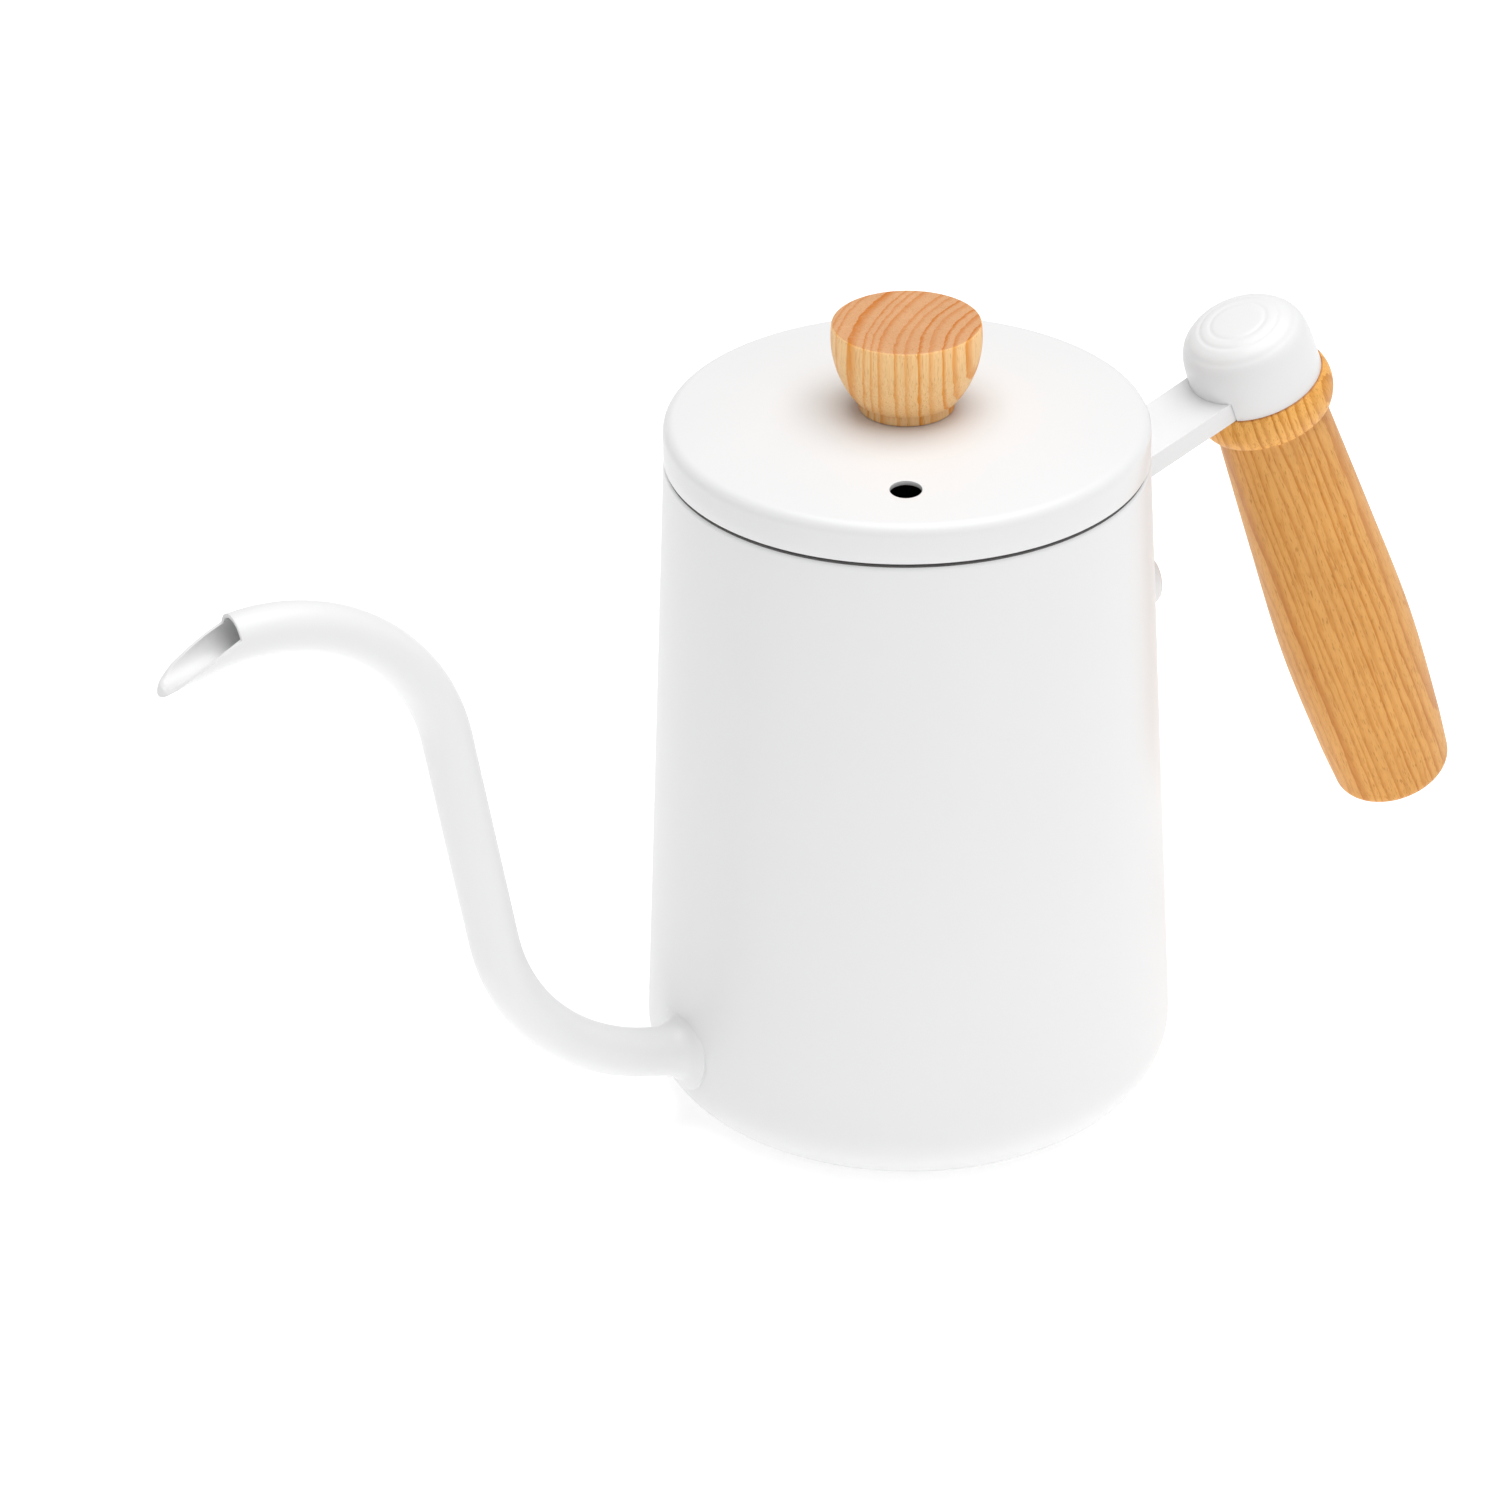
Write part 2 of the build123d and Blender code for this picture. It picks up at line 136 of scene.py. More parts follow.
# ---- Pot ----
# The pot is one drawn cup of 0.8 mm stainless sheet, a little wider at the foot, with a round heel and its
# rim turned in as a ledge for the lid. Outside it has baked satin white paint with a fine peel, which stops
# just under the lid's skirt. The ledge and the inside are bare. The bare rim under the skirt is coloured a
# dark grey steel, which is painted shade for the shadow in the gap between the lid and the pot.
MOUTH_HEIGHT = 0.128
MOUTH_RADIUS = 0.044
WALL_SLOPE = math.radians(2.68)
SHEET = 0.0008
HEEL_RADIUS = 0.0121
RIM_BEND = 0.0012
LEDGE_RADIUS = 0.0404
BASE_DISC_RADIUS = 0.033
SPOUT_HEIGHT = 0.017
INLET_RADIUS = 0.0064
RIVET_HEIGHT = 0.0886
RIVET_SHANK = 0.0025
DRILL_START = 0.030
DRILL_END = 0.060
TURNED_SIDES = 224


def wall_radius(height):
    """Outside radius of the pot's wall."""
    return MOUTH_RADIUS + (MOUTH_HEIGHT - height) * math.tan(WALL_SLOPE)


def rounded(corners, radii, steps=10):
    """The points of an outline with its inner corners rounded off."""
    line = [Vector(corners[0])]
    for before, corner, after, radius in zip(corners, corners[1:], corners[2:], radii):
        corner = Vector(corner)
        back, on = (Vector(before) - corner).normalized(), (Vector(after) - corner).normalized()
        if radius <= 0:
            line.append(corner)
            continue
        half = back.angle(on) / 2
        centre = corner + (back + on).normalized() * (radius / math.sin(half))
        start = corner + back * (radius / math.tan(half)) - centre
        end = corner + on * (radius / math.tan(half)) - centre
        sweep = start.angle_signed(end)
        for step in range(steps + 1):
            turn = -sweep * step / steps
            line.append(centre + Matrix.Rotation(turn, 2) @ start)
    line.append(Vector(corners[-1]))
    return line


def split_long(line, longest):
    """The same outline with no run longer than a length, so that faces stay compact."""
    made = [line[0]]
    for start, end in zip(line, line[1:]):
        parts = max(1, math.ceil((end - start).length / longest))
        made += [start.lerp(end, part / parts) for part in range(1, parts + 1)]
    return made


def shell(line, thickness):
    """A closed outline: the line, then the line moved to its right by the sheet's thickness, backwards."""
    inner = []
    for index, point in enumerate(line):
        before, after = line[max(index - 1, 0)], line[min(index + 1, len(line) - 1)]
        along = (after - before).normalized()
        inner.append(point + Vector((along.y, -along.x)) * thickness)
    return line + inner[::-1]


def turned(name, outline, closed=True, sides=TURNED_SIDES, skin=None):
    """A turned mesh from an outline of radius and height. skin gives each run its material's index."""
    mesh = bpy.data.meshes.new(name)
    grid, points, faces, kinds = [], [], [], []
    for radius, height in outline:
        if radius < 1e-7:
            grid.append([len(points)] * sides)
            points.append((0.0, 0.0, height))
            continue
        grid.append(list(range(len(points), len(points) + sides)))
        for side in range(sides):
            turn = 2 * math.pi * side / sides
            points.append((radius * math.cos(turn), radius * math.sin(turn), height))
    runs = len(outline) if closed else len(outline) - 1
    for run in range(runs):
        low, high = grid[run], grid[(run + 1) % len(outline)]
        for side in range(sides):
            on = (side + 1) % sides
            corners = list(dict.fromkeys((low[side], low[on], high[on], high[side])))
            if len(corners) > 2:
                faces.append(corners)
                kinds.append(skin(run) if skin else 0)
    mesh.from_pydata(points, [], faces)
    mesh.polygons.foreach_set("material_index", kinds)
    made = put(name, mesh)
    face_out(made)
    return made


def face_out(piece):
    """Turns all faces of a closed mesh outwards."""
    work = bmesh.new()
    work.from_mesh(piece.data)
    bmesh.ops.recalc_face_normals(work, faces=work.faces)
    work.to_mesh(piece.data)
    work.free()


def bake_down(piece):
    """Puts what the modifiers make into the piece's own mesh, and takes the modifiers off."""
    bpy.context.view_layer.update()
    evaluated = piece.evaluated_get(bpy.context.evaluated_depsgraph_get())
    mesh = bpy.data.meshes.new_from_object(evaluated)
    if piece.type == "MESH":
        piece.modifiers.clear()
        piece.data = mesh
        mesh.name = piece.name
        return piece
    name = piece.name
    bpy.data.objects.remove(piece)
    mesh.name = name
    return put(name, mesh)


def cut(piece, *tools):
    """Takes closed tool shapes out of a piece, and throws the tools away."""
    for tool in tools:
        away = piece.modifiers.new("cut", "BOOLEAN")
        away.operation = "DIFFERENCE"
        away.solver = "EXACT"
        away.object = tool
    made = bake_down(piece)
    for tool in tools:
        bpy.data.objects.remove(tool)
    return made


def rod(radius, start, end, sides=96):
    """A closed round tool from one point to another."""
    start, end = Vector(start), Vector(end)
    made = turned("tool", [(0, 0), (radius, 0), (radius, (end - start).length), (0, (end - start).length)],
                  False, sides)
    facing = (end - start).to_track_quat("Z", "Y")
    made.data.transform(Matrix.Translation(start) @ facing.to_matrix().to_4x4())
    return made


def smooth(piece, crease=35.0):
    """Smooth shading that keeps edges sharper than an angle."""
    piece.data.shade_smooth()
    piece.data.set_sharp_from_angle(angle=math.radians(crease))


def soft_edges(piece, width, crease):
    """Rounds every edge sharper than an angle, as paint or a file leaves it."""
    ease = piece.modifiers.new("ease", "BEVEL")
    ease.width = width
    ease.segments = 2
    ease.limit_method = "ANGLE"
    ease.angle_limit = math.radians(crease)
    ease.harden_normals = False
    return bake_down(piece)


def group(name, inputs, outputs):
    """An empty shader node group with named sockets."""
    made = bpy.data.node_groups.new(name, "ShaderNodeTree")
    for label, kind, value in inputs:
        socket = made.interface.new_socket(label, in_out="INPUT", socket_type=kind)
        if value is not None:
            socket.default_value = value
    for label, kind in outputs:
        made.interface.new_socket(label, in_out="OUTPUT", socket_type=kind)
    return made, made.nodes.new("NodeGroupInput").outputs, made.nodes.new("NodeGroupOutput").inputs


def sums(tree, operation, first, second=None, third=None, clamp=False):
    """One math node, and its result."""
    made = tree.nodes.new("ShaderNodeMath")
    made.operation = operation
    made.use_clamp = clamp
    for socket, value in zip(made.inputs, (first, second, third)):
        if isinstance(value, bpy.types.NodeSocket):
            tree.links.new(value, socket)
        elif value is not None:
            socket.default_value = value
    return made.outputs[0]


def ramp_between(tree, value, low, high, to_low=0.0, to_high=1.0):
    """A value stretched from one range to another, smoothly at both ends."""
    made = node(tree, "ShaderNodeMapRange",
                {"Value": value, "From Min": low, "From Max": high, "To Min": to_low, "To Max": to_high},
                interpolation_type="SMOOTHSTEP")
    return made.outputs[0]


def blend_colours(tree, share, first, second, mode="MIX"):
    """Two colours mixed by a share."""
    made = tree.nodes.new("ShaderNodeMix")
    made.data_type = "RGBA"
    made.blend_type = mode
    for socket, value in ((made.inputs[0], share), (made.inputs[6], first), (made.inputs[7], second)):
        if isinstance(value, bpy.types.NodeSocket):
            tree.links.new(value, socket)
        else:
            socket.default_value = value
    return made.outputs[2]


EFFECT_OUTPUTS = [("Colour", "NodeSocketColor"), ("Roughness", "NodeSocketFloat"),
                  ("Height", "NodeSocketFloat")]

# Baked paint: a fine peel from the spray gun, slow thick and thin places, and a few specks of dust
# under the film.
paint_film, film_in, film_out = group(
    "paint_film",
    [("Position", "NodeSocketVector", None), ("Colour", "NodeSocketColor", (0.8, 0.8, 0.8, 1)),
     ("Peel Size mm", "NodeSocketFloat", 1.4), ("Shade", "NodeSocketFloat", 0.03),
     ("Gloss Change", "NodeSocketFloat", 0.06), ("Roughness", "NodeSocketFloat", 0.42)],
    EFFECT_OUTPUTS)
film_sum = partial(sums, paint_film)
film_mm = node(paint_film, "ShaderNodeVectorMath", {0: film_in["Position"], "Scale": 1000.0},
               operation="SCALE").outputs[0]
film_peel = node(paint_film, "ShaderNodeTexNoise",
                 {"Vector": film_mm, "Scale": film_sum("DIVIDE", 1.0, film_in["Peel Size mm"]),
                  "Detail": 2.0})
film_cloud = node(paint_film, "ShaderNodeTexNoise", {"Vector": film_mm, "Scale": 0.035, "Detail": 3.0})
film_speck = node(paint_film, "ShaderNodeTexVoronoi", {"Vector": film_mm, "Scale": 0.16})
film_nib = ramp_between(paint_film, film_speck.outputs["Distance"], 0.05, 0.02)
film_shade = film_sum("MULTIPLY_ADD", film_sum("SUBTRACT", film_cloud.outputs[0], 0.5),
                      film_in["Shade"], 1.0)
film_shade = film_sum("SUBTRACT", film_shade, film_sum("MULTIPLY", film_nib, 0.02))
film_grey = node(paint_film, "ShaderNodeCombineColor",
                 {"Red": film_shade, "Green": film_shade, "Blue": film_shade})
paint_film.links.new(blend_colours(paint_film, 1.0, film_in["Colour"], film_grey.outputs[0], "MULTIPLY"),
                     film_out["Colour"])
paint_film.links.new(
    film_sum("MULTIPLY_ADD", film_sum("SUBTRACT", film_cloud.outputs[0], 0.5),
             film_in["Gloss Change"], film_in["Roughness"]),
    film_out["Roughness"])
paint_film.links.new(film_sum("ADD", film_peel.outputs[0], film_sum("MULTIPLY", film_nib, 0.8)),
                     film_out["Height"])


def join_effect(tree, shader, effect, strength, depth):
    """Joins a shared effect's colour, roughness and relief to the Principled shader."""
    bump = node(tree, "ShaderNodeBump",
                {"Height": effect.outputs["Height"], "Strength": strength, "Distance": depth})
    tree.links.new(effect.outputs["Colour"], shader.inputs["Base Color"])
    tree.links.new(effect.outputs["Roughness"], shader.inputs["Roughness"])
    tree.links.new(bump.outputs[0], shader.inputs["Normal"])


def painted(name, colour, roughness, peel):
    """Satin paint on sheet metal."""
    made, tree, shader = material(name)
    place = node(tree, "ShaderNodeTexCoord").outputs["Object"]
    film = node(tree, "ShaderNodeGroup", node_tree=paint_film)
    tree.links.new(place, film.inputs["Position"])
    film.inputs["Colour"].default_value = (*colour, 1)
    film.inputs["Roughness"].default_value = roughness
    film.inputs["Peel Size mm"].default_value = peel
    join_effect(tree, shader, film, 0.12, 0.00004)
    shader.inputs["Specular IOR Level"].default_value = 0.45
    shader.inputs["Coat Weight"].default_value = 0.15
    shader.inputs["Coat Roughness"].default_value = 0.3
    return made


white_paint = painted("satin_white_paint", (0.80, 0.80, 0.803), 0.42, 1.4)

# Bare stainless: fine scratches that follow the way it was brushed or turned, and slow places that are
# dull or bright.
brushing, brush_in, brush_out = group(
    "brushing",
    [("Streaks", "NodeSocketVector", None), ("Position", "NodeSocketVector", None),
     ("Colour", "NodeSocketColor", (0.6, 0.6, 0.6, 1)), ("Depth", "NodeSocketFloat", 0.12),
     ("Roughness", "NodeSocketFloat", 0.3)],
    EFFECT_OUTPUTS)
brush_sum = partial(sums, brushing)
brush_fine = node(brushing, "ShaderNodeTexNoise",
                  {"Vector": brush_in["Streaks"], "Scale": 1.0, "Detail": 5.0, "Roughness": 0.7})
brush_cloud = node(brushing, "ShaderNodeTexNoise",
                   {"Vector": brush_in["Position"], "Scale": 60.0, "Detail": 3.0})
brush_shade = brush_sum("MULTIPLY_ADD", brush_sum("SUBTRACT", brush_fine.outputs[0], 0.5),
                        brush_in["Depth"], 1.0)
brush_grey = node(brushing, "ShaderNodeCombineColor",
                  {"Red": brush_shade, "Green": brush_shade, "Blue": brush_shade})
brushing.links.new(blend_colours(brushing, 1.0, brush_in["Colour"], brush_grey.outputs[0], "MULTIPLY"),
                   brush_out["Colour"])
brushing.links.new(
    brush_sum("ADD", brush_sum("MULTIPLY_ADD", brush_fine.outputs[0], 0.14, brush_in["Roughness"]),
              brush_sum("MULTIPLY", brush_sum("SUBTRACT", brush_cloud.outputs[0], 0.5), 0.12)),
    brush_out["Roughness"])
brushing.links.new(brush_fine.outputs[0], brush_out["Height"])


def bare_metal(name, colour, roughness, axis_place=(0, 0, 0), axis_turn=(0, 0, 0), depth=0.2):
    """Metal brushed or turned round an axis, so that its fine lines are rings about that axis."""
    made, tree, shader = material(name)
    place = node(tree, "ShaderNodeTexCoord").outputs["Object"]
    about = node(tree, "ShaderNodeMapping", {"Vector": place, "Location": axis_place, "Rotation": axis_turn},
                 vector_type="TEXTURE").outputs[0]
    parts = node(tree, "ShaderNodeSeparateXYZ", {0: about})
    out = sums(tree, "SQRT", sums(tree, "ADD", sums(tree, "POWER", parts.outputs[0], 2.0),
                                  sums(tree, "POWER", parts.outputs[1], 2.0)))
    turn = sums(tree, "ARCTAN2", parts.outputs[1], parts.outputs[0])
    rings = node(tree, "ShaderNodeCombineXYZ",
                 {"X": sums(tree, "MULTIPLY", out, 9000.0),
                  "Y": sums(tree, "MULTIPLY", parts.outputs[2], 9000.0),
                  "Z": sums(tree, "MULTIPLY", sums(tree, "ABSOLUTE", turn), 1.5)})
    brushed = node(tree, "ShaderNodeGroup", node_tree=brushing)
    tree.links.new(rings.outputs[0], brushed.inputs["Streaks"])
    tree.links.new(place, brushed.inputs["Position"])
    brushed.inputs["Colour"].default_value = (*colour, 1)
    brushed.inputs["Depth"].default_value = depth
    brushed.inputs["Roughness"].default_value = roughness
    join_effect(tree, shader, brushed, 0.15, 0.00003)
    shader.inputs["Metallic"].default_value = 1.0
    return made


pot_steel = bare_metal("bare_pot_steel", (0.80, 0.79, 0.78), 0.34)
# Dark grey steel for the rim under the lid's skirt: partly bare steel, partly painted shade for the shadow in
# the gap between the lid and the pot.
rim_painted_shade = bare_metal("painted_shade_rim_metal", (0.22, 0.215, 0.21), 0.50)

pot_line = rounded(
    [(LEDGE_RADIUS, MOUTH_HEIGHT), (MOUTH_RADIUS, MOUTH_HEIGHT), (wall_radius(0), 0), (BASE_DISC_RADIUS, 0)],
    [RIM_BEND, HEEL_RADIUS], 14)
pot_line = split_long(pot_line, 0.004)
outer_runs = len(pot_line) - 1
paint_stop = MOUTH_HEIGHT - RIM_BEND * 0.35
# The runs above the paint's stop take the dark rim steel, painted shade for the gap under the lid.
shaded_bare_rim_runs = sum(1 for point in pot_line if point.y > paint_stop) - 1
pot = turned("pot_shell", shell(pot_line, SHEET),
             skin=lambda run: 2 if run < shaded_bare_rim_runs else 0 if run < outer_runs else 1)
for skin in (white_paint, pot_steel, rim_painted_shade):
    pot.data.materials.append(skin)
pot = cut(
    pot,
    rod(INLET_RADIUS, (-DRILL_START, 0, SPOUT_HEIGHT), (-DRILL_END, 0, SPOUT_HEIGHT)),
    rod(RIVET_SHANK, (DRILL_START, 0, RIVET_HEIGHT), (DRILL_END, 0, RIVET_HEIGHT)),
)
smooth(pot)
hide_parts("body_shell")
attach(pot, "kettle")

# ---- Base disc ----
# A flat disc of 1.2 mm stainless closes the round opening in the pot's bottom and stands on the stove. It is
# turned bright, with fine rings. Inside, a seam of small overlapping welds joins its edge to the pot.
base_steel = bare_metal("turned_base_steel", (0.58, 0.57, 0.56), 0.24, depth=0.35)
SEAM_WELDS = 150
SEAM_RING = 0.0331
SEAM_WELD_RADIUS = 0.0009
SEAM_HEIGHT = 0.0009
SEAM_FLATNESS = 0.5


def geometry_tree(name, inputs):
    """A geometry node tree with named inputs, and the sockets that it starts and ends with."""
    made = bpy.data.node_groups.new(name, "GeometryNodeTree")
    made.interface.new_socket("Geometry", in_out="INPUT", socket_type="NodeSocketGeometry")
    for label, value in inputs.items():
        kind = "NodeSocketInt" if isinstance(value, int) else "NodeSocketFloat"
        made.interface.new_socket(label, in_out="INPUT", socket_type=kind).default_value = value
    made.interface.new_socket("Geometry", in_out="OUTPUT", socket_type="NodeSocketGeometry")
    return made, made.nodes.new("NodeGroupInput").outputs, made.nodes.new("NodeGroupOutput").inputs


def finish_tree(crease):
    """Geometry nodes that close up a CAD node's loose triangles and shade it smooth up to a crease angle."""
    tree, start, end = geometry_tree("fine_shading", {"Crease Angle": crease})
    closed = node(tree, "GeometryNodeMergeByDistance", {"Geometry": start["Geometry"], "Distance": 1e-6})
    fold = node(tree, "GeometryNodeInputMeshEdgeAngle")
    flat = sums(tree, "LESS_THAN", fold.outputs["Unsigned Angle"], start["Crease Angle"])
    faces = node(tree, "GeometryNodeSetShadeSmooth", {"Geometry": closed.outputs[0], "Shade Smooth": True},
                 domain="FACE")
    edges = node(tree, "GeometryNodeSetShadeSmooth", {"Geometry": faces.outputs[0], "Shade Smooth": flat},
                 domain="EDGE")
    tree.links.new(edges.outputs[0], end["Geometry"])
    return tree


fine_shading = finish_tree(math.radians(30))


def finish_node(name, skin):
    """A carried-over CAD node gets fine shading and its material."""
    part = nodes[name]
    part.data.materials.clear()
    part.data.materials.append(skin)
    part.modifiers.new("fine_shading", "NODES").node_group = fine_shading


finish_node("base_disc", base_steel)

weld_tree, weld_in, weld_out = geometry_tree(
    "weld_ring", {"Ring Radius": SEAM_RING, "Weld Radius": SEAM_WELD_RADIUS, "Count": SEAM_WELDS})
weld_places = node(weld_tree, "GeometryNodeMeshCircle",
                   {"Vertices": weld_in["Count"], "Radius": weld_in["Ring Radius"]})
weld_dot = node(weld_tree, "GeometryNodeMeshUVSphere",
                {"Segments": 14, "Rings": 6, "Radius": weld_in["Weld Radius"]})
weld_flat = node(weld_tree, "GeometryNodeTransform",
                 {"Geometry": weld_dot.outputs[0], "Scale": (1, 1, SEAM_FLATNESS)})
weld_set = node(weld_tree, "GeometryNodeInstanceOnPoints",
                {"Points": weld_places.outputs[0], "Instance": weld_flat.outputs[0]})
weld_high = node(weld_tree, "GeometryNodeTransform",
                 {"Geometry": weld_set.outputs[0], "Translation": (0, 0, SEAM_HEIGHT)})
weld_real = node(weld_tree, "GeometryNodeRealizeInstances", {"Geometry": weld_high.outputs[0]})
weld_soft = node(weld_tree, "GeometryNodeSetShadeSmooth", {0: weld_real.outputs[0]})
weld_skin = node(weld_tree, "GeometryNodeSetMaterial",
                 {"Geometry": weld_soft.outputs[0], "Material": base_steel})
weld_tree.links.new(weld_skin.outputs[0], weld_out["Geometry"])
base_weld = put("base_weld", bpy.data.meshes.new("base_weld"))
base_weld.modifiers.new("welds", "NODES").node_group = weld_tree
base_weld = bake_down(base_weld)
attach(base_weld, "kettle")

# ---- Gooseneck spout ----
# One thin stainless tube, bent up and over. Its root is flared out into the pot's wall and its end is drawn
# down a little, then cut open into a long beak for a slow, thin stream. It is painted with the pot, in its
# mouth too.
TUBE_RADIUS = 0.0046
TUBE_WALL = 0.0007
TIP_RADIUS = 0.00415
TAPER_LENGTH = 0.030
FLARE_RADIUS = 0.0082
FLARE_START = 0.0040
FLARE_LENGTH = 0.0054
BEND_INSET = 0.0043
LOWER_BEND = 0.0427
UPPER_BEND = 0.0372
RISE_ANGLE = math.radians(80.4)
RISE_RUN = 0.0446
TIP_ANGLE = math.radians(13.0)
TIP_RUN = 0.012
LIP_CUT = [(0.0051, 0.0134), (0.0054, 0.0023), (0.0024, 0.0009), (-0.0010, -0.0009), (-0.0047, -0.0030),
           (-0.0075, -0.0050), (-0.0092, -0.0066), (-0.0101, -0.0078)]


def spout_course():
    """The tube's centre line from inside the wall to its end, and the place where the upper bend ends."""
    course, place, heading = [], Vector((BEND_INSET - wall_radius(SPOUT_HEIGHT), 0, SPOUT_HEIGHT)), 0.0
    for turn, radius, run in ((RISE_ANGLE, LOWER_BEND, RISE_RUN),
                              (-RISE_ANGLE - TIP_ANGLE, UPPER_BEND, TIP_RUN)):
        steps = math.ceil(abs(turn) * radius / 0.0008)
        for step in range(steps):
            course.append(place.copy())
            middle = heading + turn * (step + 0.5) / steps
            chord = 2 * radius * math.sin(abs(turn) / steps / 2)
            place += Vector((-math.cos(middle), 0, math.sin(middle))) * chord
        heading += turn
        bend_end = place.copy()
        steps = math.ceil(run / 0.0008)
        for step in range(steps):
            course.append(place.copy())
            place += Vector((-math.cos(heading), 0, math.sin(heading))) * (run / steps)
    return course + [place], bend_end


def curve_through(name, points):
    """A curve object that runs straight from each point to the next."""
    curve = bpy.data.curves.new(name, "CURVE")
    curve.dimensions = "3D"
    line = curve.splines.new("POLY")
    line.points.add(len(points) - 1)
    line.points.foreach_set("co", [value for point in points for value in (*point, 1.0)])
    return put(name, curve)


spout_points, bend_end = spout_course()
spout = curve_through("spout_tube_skin", spout_points)

neck_tree, neck_in, neck_end = geometry_tree("gooseneck_tube", {
    "Tube Radius": TUBE_RADIUS, "Tube Wall": TUBE_WALL,
    "Tip Radius": TIP_RADIUS, "Taper Length": TAPER_LENGTH,
    "Flare Radius": FLARE_RADIUS, "Flare Start": FLARE_START, "Flare Length": FLARE_LENGTH})
neck_sum = partial(sums, neck_tree)
neck_along = node(neck_tree, "GeometryNodeSplineParameter").outputs["Length"]
neck_length = node(neck_tree, "GeometryNodeCurveLength", {"Curve": neck_in["Geometry"]}).outputs[0]
flare_left = neck_sum("SUBTRACT", 1.0,
                      neck_sum("DIVIDE", neck_sum("SUBTRACT", neck_along, neck_in["Flare Start"]),
                               neck_in["Flare Length"], clamp=True))
flare_rise = neck_sum("SUBTRACT", 1.0,
                      neck_sum("SQRT", neck_sum("SUBTRACT", 1.0,
                                                neck_sum("MULTIPLY", flare_left, flare_left))))
flare_extra = neck_sum("MULTIPLY", flare_rise,
                       neck_sum("SUBTRACT", neck_in["Flare Radius"], neck_in["Tube Radius"]))
taper_place = neck_sum("SUBTRACT", neck_along, neck_sum("SUBTRACT", neck_length, neck_in["Taper Length"]))
taper_share = ramp_between(neck_tree, taper_place, 0.0, neck_in["Taper Length"])
taper_less = neck_sum("MULTIPLY", taper_share,
                      neck_sum("SUBTRACT", neck_in["Tube Radius"], neck_in["Tip Radius"]))
neck_radius = neck_sum("SUBTRACT", neck_sum("ADD", neck_in["Tube Radius"], flare_extra), taper_less)
neck_round = node(neck_tree, "GeometryNodeCurvePrimitiveCircle", {"Resolution": 72, "Radius": 1.0})


def neck_tube(radius):
    """A closed round solid along the course."""
    swept = node(neck_tree, "GeometryNodeCurveToMesh", {
        "Curve": neck_in["Geometry"], "Profile Curve": neck_round.outputs[0], "Scale": radius,
        "Fill Caps": True})
    return swept.outputs[0]


neck_bore = neck_tube(neck_sum("SUBTRACT", neck_radius, neck_in["Tube Wall"]))
neck_hollow = node(neck_tree, "GeometryNodeMeshBoolean",
                   {"Mesh 1": neck_tube(neck_radius), "Mesh 2": neck_bore},
                   operation="DIFFERENCE")
neck_real = node(neck_tree, "GeometryNodeRealizeInstances", {"Geometry": neck_hollow.outputs[0]})
neck_painted = node(neck_tree, "GeometryNodeSetMaterial",
                    {"Geometry": neck_real.outputs[0], "Material": white_paint})
neck_tree.links.new(neck_painted.outputs[0], neck_end["Geometry"])
spout.modifiers.new("gooseneck", "NODES").node_group = neck_tree
spout = bake_down(spout)


def prism(outline, half_width):
    """A closed tool: an outline in the XZ plane, pushed out to both sides."""
    made = bpy.data.meshes.new("tool")
    count = len(outline)
    points = [(x, side * half_width, z) for side in (-1, 1) for x, z in outline]
    faces = [tuple(range(count)), tuple(range(2 * count - 1, count - 1, -1))]
    faces += [(i, i + count, (i + 1) % count + count, (i + 1) % count) for i in range(count)]
    made.from_pydata(points, [], faces)
    tool = put("tool", made)
    face_out(tool)
    return tool


beak = [(bend_end.x + x, bend_end.z + z) for x, z in LIP_CUT]
beak += [(bend_end.x - 0.03, beak[-1][1]), (bend_end.x - 0.03, beak[0][1])]
pot_core = turned("tool", [(0, -0.01), (wall_radius(-0.01) - 0.0001, -0.01),
                           (wall_radius(0.08) - 0.0001, 0.08), (0, 0.08)], False)
spout = cut(spout, prism(beak, 0.01), pot_core)
spout = soft_edges(spout, 0.00018, 50)
smooth(spout, 40)
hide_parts("spout_tube")
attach(spout, "kettle")

# ---- Lid cover ----
# The lid is a shallow stainless dish spun in one piece, with a flat middle for the knob and a short skirt
# with a round edge that covers the pot's mouth. It has a drilled steam hole and is painted like the pot.
LID_TOP = 0.1376
LID_PAD = 0.0097
LID_EDGE_HEIGHT = 0.1354
LID_DOME = 0.2685
LID_EDGE_RADIUS = 0.0023
SKIRT_FOOT = 0.1285
SKIRT_INSIDE = MOUTH_RADIUS - SHEET
SCREW_HOLE = 0.00215
VENT_RADIUS = 0.0029
VENT_DISTANCE = 0.0314
VENT_DIRECTION = math.radians(-121)
DOME_STEPS = 16


def dome_height(radius):
    """Height of the lid's top over a place beyond the flat middle."""
    return LID_TOP - LID_DOME + math.sqrt(LID_DOME ** 2 - (radius - LID_PAD) ** 2)


dome_reach = MOUTH_RADIUS - LID_EDGE_RADIUS * 0.95
lid_line = [Vector((SCREW_HOLE, LID_TOP)), Vector((LID_PAD / 2, LID_TOP))]
for step in range(DOME_STEPS + 1):
    radius = LID_PAD + (dome_reach - LID_PAD) * step / DOME_STEPS
    lid_line.append(Vector((radius, dome_height(radius))))
lid_line += rounded([lid_line.pop(), (MOUTH_RADIUS, LID_EDGE_HEIGHT), (MOUTH_RADIUS, SKIRT_FOOT)],
                    [LID_EDGE_RADIUS], 10)
lid = turned("lid_dish", shell(split_long(lid_line, 0.003), SHEET))
lid.data.materials.append(white_paint)
vent_x, vent_y = VENT_DISTANCE * math.cos(VENT_DIRECTION), VENT_DISTANCE * math.sin(VENT_DIRECTION)
lid = cut(lid, rod(VENT_RADIUS, (vent_x, vent_y, 0.130), (vent_x, vent_y, 0.145)))
lid = soft_edges(lid, 0.00016, 55)
smooth(lid, 50)
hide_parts("lid_cover")
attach(lid, "lid")

